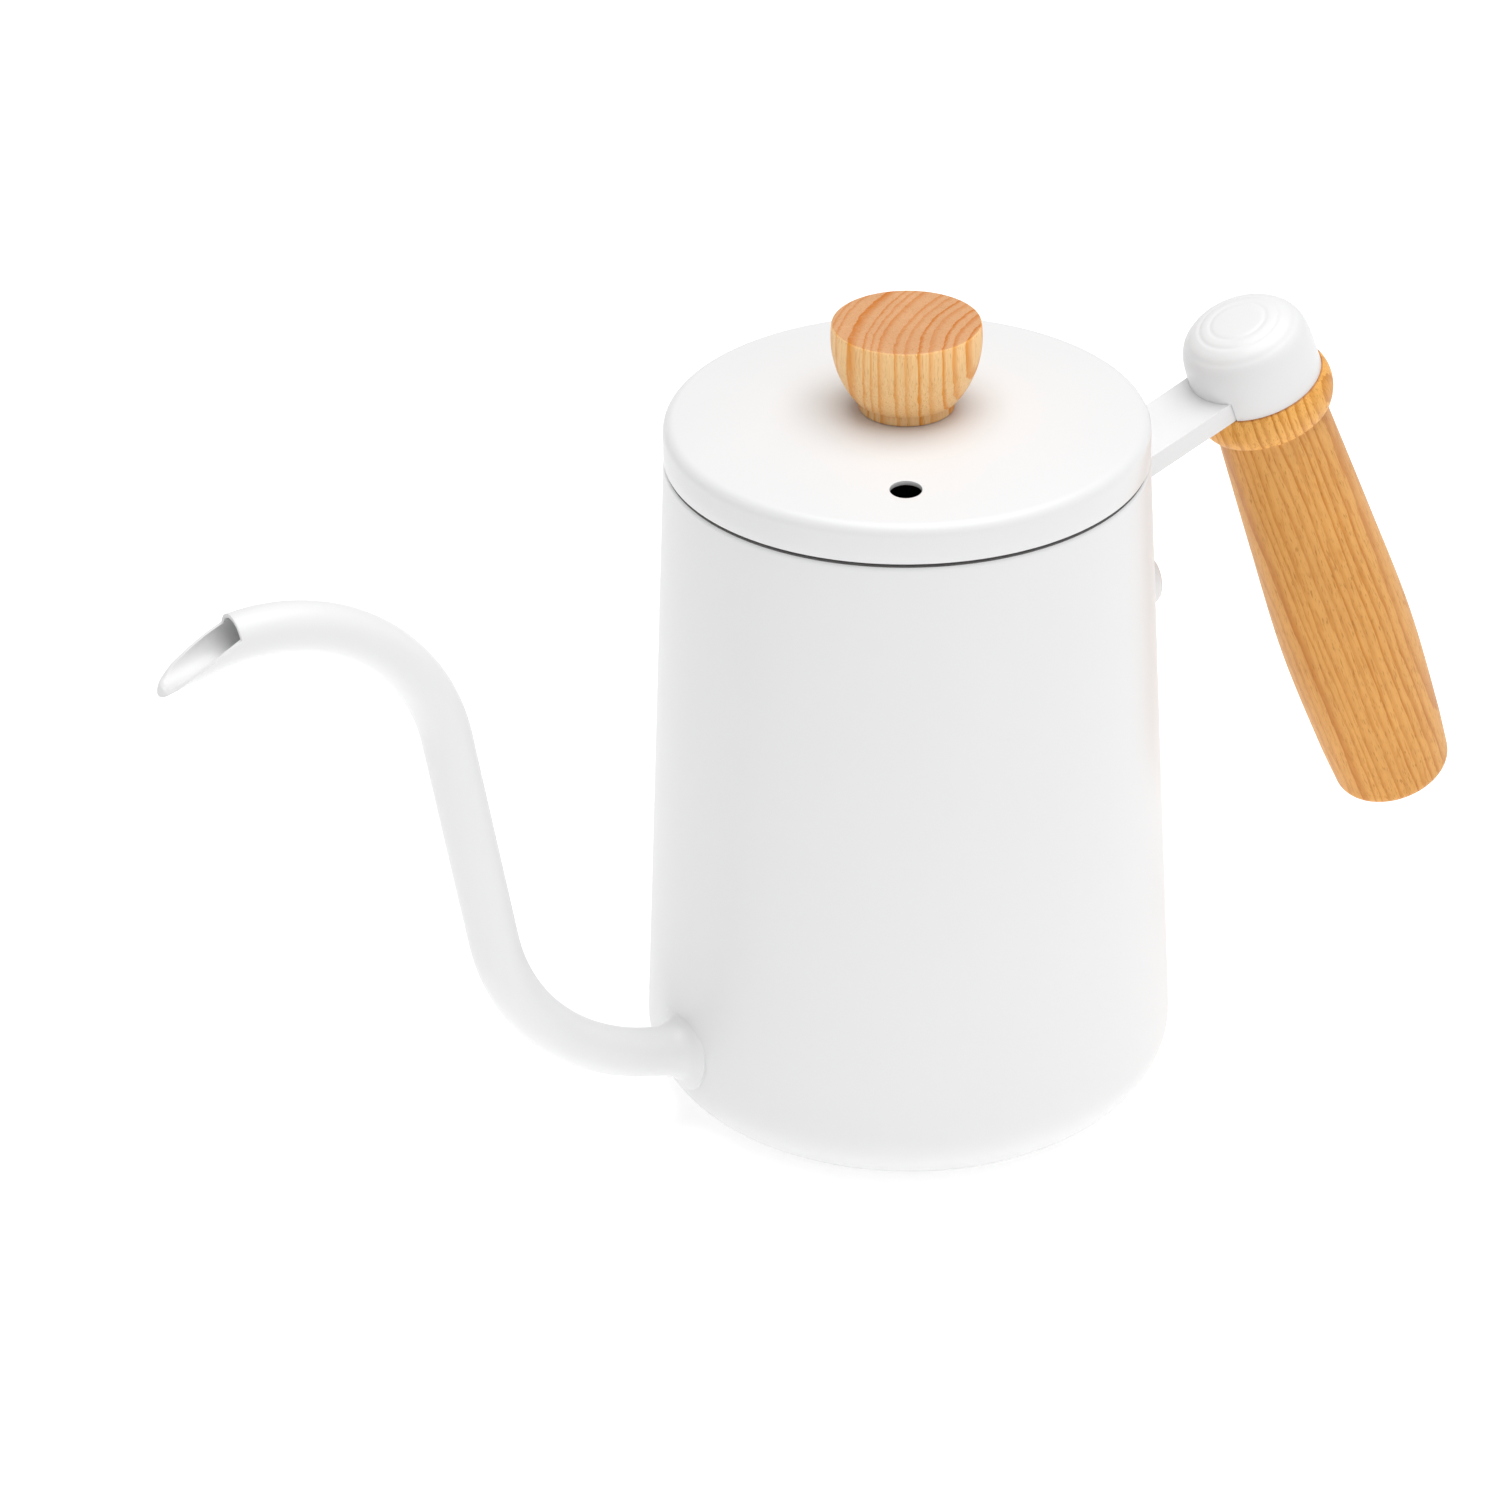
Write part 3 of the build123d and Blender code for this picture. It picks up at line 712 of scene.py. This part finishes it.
# ---- Lid collar ----
# A bare stainless ring is spot-welded inside the skirt. Its step rests on the pot's rim, and its long sleeve
# goes down into the mouth, so the lid stays on while the kettle is tipped.
COLLAR_SHEET = 0.0007
COLLAR_RADIUS = 0.040
COLLAR_TOP = 0.1315
COLLAR_FOOT = 0.117
collar_steel = bare_metal("collar_steel", (0.50, 0.495, 0.49), 0.22)
collar_line = rounded(
    [(SKIRT_INSIDE, COLLAR_TOP), (SKIRT_INSIDE, MOUTH_HEIGHT), (COLLAR_RADIUS, MOUTH_HEIGHT),
     (COLLAR_RADIUS, COLLAR_FOOT)],
    [COLLAR_SHEET + 0.0004, 0.0004], 6)
collar = turned("lid_collar_ring", shell(split_long(collar_line, 0.003), COLLAR_SHEET))
collar.data.materials.append(collar_steel)
collar = soft_edges(collar, 0.00015, 60)
smooth(collar, 50)
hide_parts("lid_collar")
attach(collar, "lid")

# ---- Knob ----
# A small bowl of ash, turned on a lathe with its grain upright, standing on a narrow foot. Its flat top shows
# end grain and is darker. It has a thin oil finish, and the pores stay open.
KNOB_TOP = 0.1543
KNOB_FOOT = (0.0087, 0.0023)
KNOB_BOWL_FOOT = 0.0095
KNOB_BULGE = (0.0125, 0.0076)
KNOB_RADIUS = 0.0134
KNOB_EDGE = 0.0005
KNOB_BORE = (0.0032, 0.009)


def arc_through(start, middle, end, steps):
    """Points of the circular arc through three points."""
    start, middle, end = Vector(start), Vector(middle), Vector(end)
    first, second = middle - start, end - start
    twice = 2 * (first.x * second.y - first.y * second.x)
    centre = start + Vector((second.y * first.length_squared - first.y * second.length_squared,
                             first.x * second.length_squared - second.x * first.length_squared)) / twice
    begin, finish = start - centre, end - centre
    sweep = -begin.angle_signed(finish)
    return [centre + Matrix.Rotation(sweep * step / steps, 2) @ begin for step in range(steps + 1)]


# Ash: rings that are soft on one side and end in a sharp dark line, long fibres, and open pores in
# the pale wood.
ash_grain, ash_in, ash_out = group(
    "ash_grain",
    [("Position mm", "NodeSocketVector", None),
     ("Pith X", "NodeSocketFloat", 30.0), ("Pith Y", "NodeSocketFloat", -35.0),
     ("Ring Width", "NodeSocketFloat", 2.6), ("Slope", "NodeSocketFloat", 0.0),
     ("Wander", "NodeSocketFloat", 0.6), ("Line Start", "NodeSocketFloat", 0.70),
     ("Pale", "NodeSocketColor", (0.8, 0.6, 0.4, 1)), ("Line", "NodeSocketColor", (0.7, 0.3, 0.06, 1)),
     ("End Tone", "NodeSocketColor", (0.8, 0.6, 0.5, 1)), ("End Share", "NodeSocketFloat", 0.0),
     ("Pores", "NodeSocketFloat", 0.3), ("Dashes", "NodeSocketFloat", 0.4)],
    EFFECT_OUTPUTS)
ash_sum = partial(sums, ash_grain)


def ash_noise(stretch, scale, detail=2.0, roughness=0.5, offset=0.0):
    """Noise in the wood, stretched along the grain."""
    placed = node(ash_grain, "ShaderNodeMapping",
                  {"Vector": ash_in["Position mm"], "Scale": (1, 1, stretch),
                   "Location": (offset, offset, offset)}, vector_type="POINT")
    return node(ash_grain, "ShaderNodeTexNoise",
                {"Vector": placed.outputs[0], "Scale": scale, "Detail": detail,
                 "Roughness": roughness}).outputs


ash_place = node(ash_grain, "ShaderNodeSeparateXYZ", {0: ash_in["Position mm"]}).outputs
ash_bend = node(ash_grain, "ShaderNodeSeparateColor", {"Color": ash_noise(0.25, 0.09, 2.0)[1]}).outputs
ash_fuzz = ash_sum("SUBTRACT", ash_noise(0.12, 0.9, 3.0, 0.6, 31.0)[0], 0.5)


def from_pith(place, wave, pith, slope):
    """How far a point lies from the pith along one axis, with the log's lean and its slow waves."""
    bent = ash_sum("MULTIPLY_ADD", ash_sum("SUBTRACT", wave, 0.5),
                   ash_sum("MULTIPLY", ash_in["Wander"], 6.0), place)
    leaned = ash_sum("MULTIPLY_ADD", ash_place[2], slope, bent) if slope else bent
    return ash_sum("SUBTRACT", leaned, pith)


ash_out_x = from_pith(ash_place[0], ash_bend[0], ash_in["Pith X"], ash_in["Slope"])
ash_out_y = from_pith(ash_place[1], ash_bend[1], ash_in["Pith Y"], None)
ash_distance = ash_sum("SQRT", ash_sum("ADD", ash_sum("MULTIPLY", ash_out_x, ash_out_x),
                                       ash_sum("MULTIPLY", ash_out_y, ash_out_y)))
ash_ring = ash_sum("DIVIDE", ash_sum("MULTIPLY_ADD", ash_fuzz, 0.75, ash_distance), ash_in["Ring Width"])
ash_uneven = node(ash_grain, "ShaderNodeTexNoise",
                  {"W": ash_sum("MULTIPLY", ash_ring, 0.55), "Scale": 1.0, "Detail": 0.0},
                  noise_dimensions="1D").outputs[0]
ash_ring = ash_sum("MULTIPLY_ADD", ash_uneven, 0.9, ash_ring)
ash_share = ash_sum("FRACT", ash_ring)
ash_count = ash_sum("FLOOR", ash_ring)
ash_luck = node(ash_grain, "ShaderNodeTexWhiteNoise", {"W": ash_count}, noise_dimensions="1D").outputs[0]
ash_rise = node(ash_grain, "ShaderNodeMapRange",
                {"Value": ash_share, "From Min": ash_in["Line Start"], "From Max": 0.93},
                interpolation_type="SMOOTHSTEP").outputs[0]
ash_late = ash_sum("MULTIPLY", ash_rise, ramp_between(ash_grain, ash_share, 1.0, 0.95))
ash_late = ash_sum("MULTIPLY", ash_late, ramp_between(ash_grain, ash_luck, 0.0, 0.8, 0.55, 1.0))
ash_broken = ramp_between(ash_grain, ash_noise(0.2, 1.1, 2.0, 0.5, 77.0)[0], 0.30, 0.55, 0.72, 1.0)
ash_late = ash_sum("MULTIPLY", ash_late, ash_broken)
ash_dash = ramp_between(ash_grain, ash_noise(0.07, 1.7, 2.0, 0.5, 140.0)[0], 0.56, 0.70, 0.0, 0.45)
ash_late = ash_sum("MAXIMUM", ash_late, ash_sum("MULTIPLY", ash_dash, ash_in["Dashes"]))
ash_colour = blend_colours(ash_grain, ash_late, ash_in["Pale"], ash_in["Line"])
ash_fibre = ash_noise(0.035, 3.6, 4.0, 0.65, 12.0)[0]
ash_cloud = ash_noise(0.4, 0.11, 2.0, 0.5, 55.0)[0]
ash_shade = ash_sum("MULTIPLY_ADD", ash_sum("SUBTRACT", ash_fibre, 0.5), 0.46, 1.0)
ash_shade = ash_sum("MULTIPLY_ADD", ash_sum("SUBTRACT", ash_cloud, 0.5), 0.22, ash_shade)
ash_pore = ramp_between(ash_grain, ash_noise(0.09, 5.0, 1.0, 0.5, 91.0)[0], 0.60, 0.70)
ash_pore = ash_sum("MULTIPLY", ash_pore, ash_sum("SUBTRACT", 1.0, ash_sum("MULTIPLY", ash_late, 0.5)))
ash_shade = ash_sum("SUBTRACT", ash_shade, ash_sum("MULTIPLY", ash_pore, ash_in["Pores"]))
ash_light = node(ash_grain, "ShaderNodeCombineColor",
                 {"Red": ash_sum("POWER", ash_shade, 0.75), "Green": ash_shade,
                  "Blue": ash_sum("POWER", ash_shade, 1.5)})
ash_colour = blend_colours(ash_grain, 1.0, ash_colour, ash_light.outputs[0], "MULTIPLY")
ash_end = blend_colours(ash_grain, 1.0, ash_colour, ash_in["End Tone"], "MULTIPLY")
ash_colour = blend_colours(ash_grain, ash_in["End Share"], ash_colour, ash_end)
ash_grain.links.new(ash_colour, ash_out["Colour"])
ash_grain.links.new(ash_sum("MULTIPLY_ADD", ash_pore, 0.2, ash_sum("MULTIPLY_ADD", ash_late, -0.08, 0.50)),
                    ash_out["Roughness"])
ash_grain.links.new(ash_sum("SUBTRACT", ash_sum("MULTIPLY", ash_late, 0.25),
                            ash_sum("MULTIPLY", ash_pore, 0.8)),
                    ash_out["Height"])


def turned_ash(name, axis_place, axis_turn, values, shift=(0.0, 0.0, 0.0)):
    """Oiled ash whose grain runs along an axis. The shift, in millimetres, picks another part of the log."""
    made, tree, shader = material(name)
    spot = node(tree, "ShaderNodeTexCoord")
    local = node(tree, "ShaderNodeMapping",
                 {"Vector": spot.outputs["Object"], "Location": axis_place, "Rotation": axis_turn,
                  "Scale": (0.001, 0.001, 0.001)}, vector_type="TEXTURE").outputs[0]
    local = node(tree, "ShaderNodeVectorMath", {0: local, 1: shift}, operation="ADD").outputs[0]
    along = Matrix.Rotation(axis_turn[1], 3, "Y") @ Vector((0, 0, 1))
    facing = node(tree, "ShaderNodeVectorMath", {0: spot.outputs["Normal"], 1: tuple(along)},
                  operation="DOT_PRODUCT").outputs["Value"]
    grain = node(tree, "ShaderNodeGroup", node_tree=ash_grain)
    for socket, value in values.items():
        grain.inputs[socket].default_value = value
    tree.links.new(local, grain.inputs["Position mm"])
    tree.links.new(ramp_between(tree, sums(tree, "ABSOLUTE", facing), 0.55, 0.95), grain.inputs["End Share"])
    join_effect(tree, shader, grain, 0.35, 0.00008)
    shader.inputs["Specular IOR Level"].default_value = 0.35
    return made


knob_ash = turned_ash("knob_ash", (0, 0, LID_TOP), (0, 0, 0), {
    "Pith X": 29.0, "Pith Y": -34.7, "Ring Width": 2.1, "Wander": 0.25, "Line Start": 0.44, "Pores": 0.24,
    "Pale": (0.955, 0.605, 0.275, 1), "Line": (0.82, 0.30, 0.022, 1), "End Tone": (0.70, 0.58, 0.60, 1)})
knob_line = [Vector((0, LID_TOP + KNOB_BORE[1])), Vector((KNOB_BORE[0], LID_TOP + KNOB_BORE[1])),
             Vector((KNOB_BORE[0], LID_TOP))]
knob_foot_top = LID_TOP + KNOB_FOOT[1]
knob_line += rounded([(KNOB_BORE[0], LID_TOP), (KNOB_FOOT[0], LID_TOP),
                      (KNOB_FOOT[0] - 0.0001, knob_foot_top)], [0.0004], 4)[1:]
knob_bowl = arc_through((KNOB_BOWL_FOOT, knob_foot_top), (KNOB_BULGE[0], LID_TOP + KNOB_BULGE[1]),
                        (KNOB_RADIUS, KNOB_TOP), 28)
knob_line += knob_bowl[:-2]
knob_line += rounded([knob_bowl[-2], (KNOB_RADIUS, KNOB_TOP), (0, KNOB_TOP)], [KNOB_EDGE], 6)[1:]
knob = turned("knob_bowl", split_long(knob_line, 0.0025), False)
knob.data.materials.append(knob_ash)
smooth(knob, 45)
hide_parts("lid_knob")
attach(knob, "lid")

# ---- Knob fastening ----
# A brass insert is pressed into the knob. A stainless pan-head screw comes up through the lid into it, with a
# flat washer under its head.
turned_brass = bare_metal("turned_brass", (0.72, 0.48, 0.20), 0.28)
screw_steel = bare_metal("screw_steel", (0.55, 0.545, 0.54), 0.25)
finish_node("knob_insert", turned_brass)
finish_node("knob_screw", screw_steel)
finish_node("knob_washer", screw_steel)

# ---- Handle bracket ----
# The arm and leg are one bent strip of steel, 4 mm thick in the arm and 3.2 mm in the leg, welded and riveted
# to the wall. It is painted with the pot, so its edges are soft, and a small painted weld runs round the leg.
LEG_HALF_WIDTH = 0.007
LEG_TOP = 0.1142
WELD_RADIUS = 0.00055
WELD_STEPS = 24
finish_node("handle_bracket", white_paint)
bracket_ease = nodes["handle_bracket"].modifiers.new("ease", "BEVEL")
bracket_ease.width = 0.00045
bracket_ease.segments = 3
bracket_ease.limit_method = "ANGLE"
bracket_ease.angle_limit = math.radians(38)

weld_path = [(LEG_HALF_WIDTH, LEG_TOP + (RIVET_HEIGHT - LEG_TOP) * step / WELD_STEPS)
             for step in range(WELD_STEPS + 1)]
weld_path += [(LEG_HALF_WIDTH * math.cos(math.pi * step / WELD_STEPS),
               RIVET_HEIGHT - LEG_HALF_WIDTH * math.sin(math.pi * step / WELD_STEPS))
              for step in range(1, WELD_STEPS)]
weld_path += [(-LEG_HALF_WIDTH, RIVET_HEIGHT + (LEG_TOP - RIVET_HEIGHT) * step / WELD_STEPS)
              for step in range(WELD_STEPS + 1)]
seam = curve_through("bracket_weld", [(math.sqrt(wall_radius(height) ** 2 - side ** 2), side, height)
                                      for side, height in weld_path])
seam_tree, seam_in, seam_end = geometry_tree("painted_weld", {"Bead Radius": WELD_RADIUS, "Ripple": 0.25})
seam_even = node(seam_tree, "GeometryNodeResampleCurve", {"Curve": seam_in["Geometry"], "Length": 0.0003},
                 mode="LENGTH")
seam_noise = node(seam_tree, "ShaderNodeTexNoise", {"Scale": 900.0, "Detail": 1.0}).outputs[0]
seam_swell = sums(seam_tree, "MULTIPLY_ADD", sums(seam_tree, "SUBTRACT", seam_noise, 0.5),
                  seam_in["Ripple"], 1.0)
seam_round = node(seam_tree, "GeometryNodeCurvePrimitiveCircle", {"Resolution": 14, "Radius": 1.0})
seam_size = sums(seam_tree, "MULTIPLY", seam_swell, seam_in["Bead Radius"])
seam_mesh = node(seam_tree, "GeometryNodeCurveToMesh", {
    "Curve": seam_even.outputs[0], "Profile Curve": seam_round.outputs[0], "Scale": seam_size,
    "Fill Caps": True})
seam_real = node(seam_tree, "GeometryNodeRealizeInstances", {"Geometry": seam_mesh.outputs[0]})
seam_skin = node(seam_tree, "GeometryNodeSetMaterial",
                 {"Geometry": seam_real.outputs[0], "Material": white_paint})
seam_tree.links.new(seam_skin.outputs[0], seam_end["Geometry"])
seam.modifiers.new("bead", "NODES").node_group = seam_tree
seam = bake_down(seam)
smooth(seam, 60)
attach(seam, "kettle")

# ---- Bracket rivet ----
# One stainless rivet goes through the leg and the wall. Its low head outside is painted over; its shank and
# its peened tail, on a curved washer inside the pot, are bare.
RIVET_FACE = 0.04905
RIVET_HEAD = (0.0052, 0.0040)
RIVET_HEAD_ROUNDING = 0.0014
RIVET_TAIL = (0.0040, 0.0014)
WASHER_FACE = 0.04404
rivet_steel = bare_metal("rivet_steel", (0.55, 0.545, 0.54), 0.28, (0, 0, RIVET_HEIGHT), (0, math.pi / 2, 0))
rivet_line = [Vector((0, WASHER_FACE - RIVET_TAIL[1]))]
rivet_line += rounded([rivet_line[0], (RIVET_TAIL[0], WASHER_FACE - RIVET_TAIL[1]),
                       (RIVET_TAIL[0], WASHER_FACE - 0.0004)],
                      [0.0008], 6)[1:]
rivet_line += [Vector((RIVET_SHANK, WASHER_FACE - 0.0004)), Vector((RIVET_SHANK, RIVET_FACE))]
rivet_bare = len(rivet_line) - 1
rivet_line += rounded([(RIVET_HEAD[0], RIVET_FACE - 0.0003), (RIVET_HEAD[0], RIVET_FACE + RIVET_HEAD[1]),
                       (0, RIVET_FACE + RIVET_HEAD[1])], [RIVET_HEAD_ROUNDING], 12)
rivet = turned("rivet_body", rivet_line, False, 72, lambda run: 1 if run < rivet_bare else 0)
rivet.data.transform(Matrix.Translation((0, 0, RIVET_HEIGHT)) @ Matrix.Rotation(math.pi / 2, 4, "Y"))
rivet.data.materials.append(white_paint)
rivet.data.materials.append(rivet_steel)
smooth(rivet, 40)
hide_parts("bracket_rivet")
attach(rivet, "kettle")
finish_node("rivet_washer", rivet_steel)

# ---- Grip cap ----
# A cast metal cap closes the grip's top and holds the arm's end in a notch. It was turned after casting,
# which left three shallow rings on its dome, and then painted with the pot.
GRIP_LEAN = math.radians(20.6)
GRIP_SEAT = (0.076, 0.0, 0.124)
CAP_RADIUS = 0.01225
CAP_SKIRT = 0.0041
CAP_HEIGHT = 0.0141
CAP_FULLNESS = 3.4
CAP_RINGS = (0.0053, 0.0075, 0.0104)
CAP_RING_DEPTH = 0.00013
CAP_RING_WIDTH = 0.00045
CAP_WALL = 0.0018
CAP_BOSS = 0.0050
CAP_BORE_END = 0.012
BOLT_RADIUS = 0.0025
ARM_THICKNESS = 0.004
NOTCH_HALF_WIDTH = 0.00725
NOTCH_SPAN = (-0.016, -0.0045)
seat_turn = Matrix.Translation(GRIP_SEAT) @ Matrix.Rotation(-GRIP_LEAN, 4, "Y")


def cap_profile(radius):
    """Height of the cap's dome, with its turned rings, at a distance from its axis."""
    fall = max(0.0, 1 - (radius / CAP_RADIUS) ** CAP_FULLNESS)
    rings = sum(CAP_RING_DEPTH * math.exp(-((radius - ring) / CAP_RING_WIDTH) ** 2) for ring in CAP_RINGS)
    return CAP_SKIRT + (CAP_HEIGHT - CAP_SKIRT) * fall ** (1 / CAP_FULLNESS) - rings


cap_line = [Vector((0, cap_profile(0)))]
cap_steps = 120
for step in range(1, cap_steps):
    radius = CAP_RADIUS * math.sin(math.pi / 2 * step / cap_steps)
    cap_line.append(Vector((radius, cap_profile(radius))))
cap_line += [Vector((CAP_RADIUS, CAP_SKIRT)), Vector((CAP_RADIUS, 0)), Vector((CAP_RADIUS - CAP_WALL, 0)),
             Vector((CAP_RADIUS - CAP_WALL, CAP_HEIGHT - 2 * CAP_WALL)),
             Vector((CAP_BOSS, CAP_HEIGHT - 2 * CAP_WALL)),
             Vector((CAP_BOSS, ARM_THICKNESS)), Vector((BOLT_RADIUS, ARM_THICKNESS)),
             Vector((BOLT_RADIUS, CAP_BORE_END)), Vector((0, CAP_BORE_END))]
cap = turned("grip_cap", cap_line, False, 160)
cap.data.materials.append(white_paint)
notch = bpy.data.meshes.new("tool")
notch.from_pydata([(x, y, z) for x in NOTCH_SPAN for y in (-NOTCH_HALF_WIDTH, NOTCH_HALF_WIDTH)
                   for z in (-0.002, ARM_THICKNESS)], [],
                  [(0, 1, 3, 2), (4, 6, 7, 5), (0, 4, 5, 1), (2, 3, 7, 6), (0, 2, 6, 4), (1, 5, 7, 3)])
notch_tool = put("tool", notch)
face_out(notch_tool)
cap = cut(cap, notch_tool)
cap = soft_edges(cap, 0.0003, 60)
cap.data.transform(seat_turn)
smooth(cap, 50)
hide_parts("handle_cap")
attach(cap, "kettle")

# ---- Grip ----
# The grip is one long piece of ash, turned with a round bead under the cap and a slow swell for the hand, and
# oiled. A long bolt runs through it from a recess in its lower end up into the cap.
GRIP_LENGTH = 0.1003
BEAD = (0.0126, 0.0134, 0.0072)
GRIP_SHAPE = ((0.0106, 0.0079), (0.0120, 0.0370), (0.0130, 0.0630), (0.0122, 0.0870), (0.0112, GRIP_LENGTH))
GRIP_END_ROUNDING = 0.0030
GRIP_BORE = 0.00275
GRIP_RECESS = (0.0054, 0.0100)


def swell(depth):
    """Radius of the grip at a depth below the bead, on a smooth line through its measured places."""
    places = GRIP_SHAPE
    index = max(0, min(len(places) - 2, sum(depth > place[1] for place in places) - 1))
    (low, start), (high, end) = places[index], places[index + 1]

    def slope(at):
        before, after = places[max(at - 1, 0)], places[min(at + 1, len(places) - 1)]
        return (after[0] - before[0]) / (after[1] - before[1])

    share, run = (depth - start) / (end - start), end - start
    return ((2 * share ** 3 - 3 * share ** 2 + 1) * low
            + (share ** 3 - 2 * share ** 2 + share) * run * slope(index)
            + (3 * share ** 2 - 2 * share ** 3) * high
            + (share ** 3 - share ** 2) * run * slope(index + 1))


grip_values = {"Pith X": 27.0, "Pith Y": -22.0, "Ring Width": 1.75, "Slope": 0.035, "Wander": 0.45,
               "Line Start": 0.40, "Pores": 0.36, "Dashes": 1.3, "Pale": (0.735, 0.362, 0.089, 1),
               "Line": (0.55, 0.19, 0.011, 1), "End Tone": (0.62, 0.48, 0.40, 1)}
grip_ash = turned_ash("grip_ash", GRIP_SEAT, (0, -GRIP_LEAN, 0), grip_values)
bead_values = {**grip_values, "Pale": (0.85, 0.43, 0.104, 1)}
bead_ash = turned_ash("bead_ash", GRIP_SEAT, (0, -GRIP_LEAN, 0), bead_values, (3.0, 1.4, 40.0))
grip_line = [Vector((GRIP_BORE, 0)), Vector((BEAD[0] - 0.0003, 0))]
grip_line += arc_through((BEAD[0], -0.0003), (BEAD[1], -BEAD[2] / 2),
                         (BEAD[0] - 0.0002, -BEAD[2] + 0.0001), 16)
grip_line += [Vector((0.0118, -BEAD[2] - 0.0002)), Vector((GRIP_SHAPE[0][0] + 0.0003, -BEAD[2] - 0.0004)),
              Vector((GRIP_SHAPE[0][0], -GRIP_SHAPE[0][1]))]
bead_runs = len(grip_line) - 2
grip_steps = 80
straight_end = GRIP_LENGTH - GRIP_END_ROUNDING * 0.95
for step in range(1, grip_steps + 1):
    depth = GRIP_SHAPE[0][1] + (straight_end - GRIP_SHAPE[0][1]) * step / grip_steps
    grip_line.append(Vector((swell(depth), -depth)))
grip_line += rounded([grip_line.pop(), (swell(GRIP_LENGTH), -GRIP_LENGTH), (GRIP_RECESS[0], -GRIP_LENGTH)],
                     [GRIP_END_ROUNDING * 0.95], 14)
recess_floor = GRIP_RECESS[1] - GRIP_LENGTH
grip_line += [Vector((GRIP_RECESS[0], recess_floor)), Vector((GRIP_BORE, recess_floor))]
grip = turned("grip_wood", grip_line, True, 160, lambda run: 1 if run < bead_runs else 0)
grip.data.materials.append(grip_ash)
grip.data.materials.append(bead_ash)
grip = soft_edges(grip, 0.0002, 70)
grip.data.transform(seat_turn)
smooth(grip, 50)
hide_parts("handle_grip")
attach(grip, "kettle")

# ---- Grip bolt ----
# The long bolt has a cross-recessed head, which sits on a washer deep in the grip's lower end. Both are plain
# turned stainless.
grip_bolt_steel = bare_metal("grip_bolt_steel", (0.55, 0.545, 0.54), 0.27, GRIP_SEAT, (0, -GRIP_LEAN, 0))
finish_node("handle_bolt", grip_bolt_steel)
finish_node("bolt_washer", grip_bolt_steel)
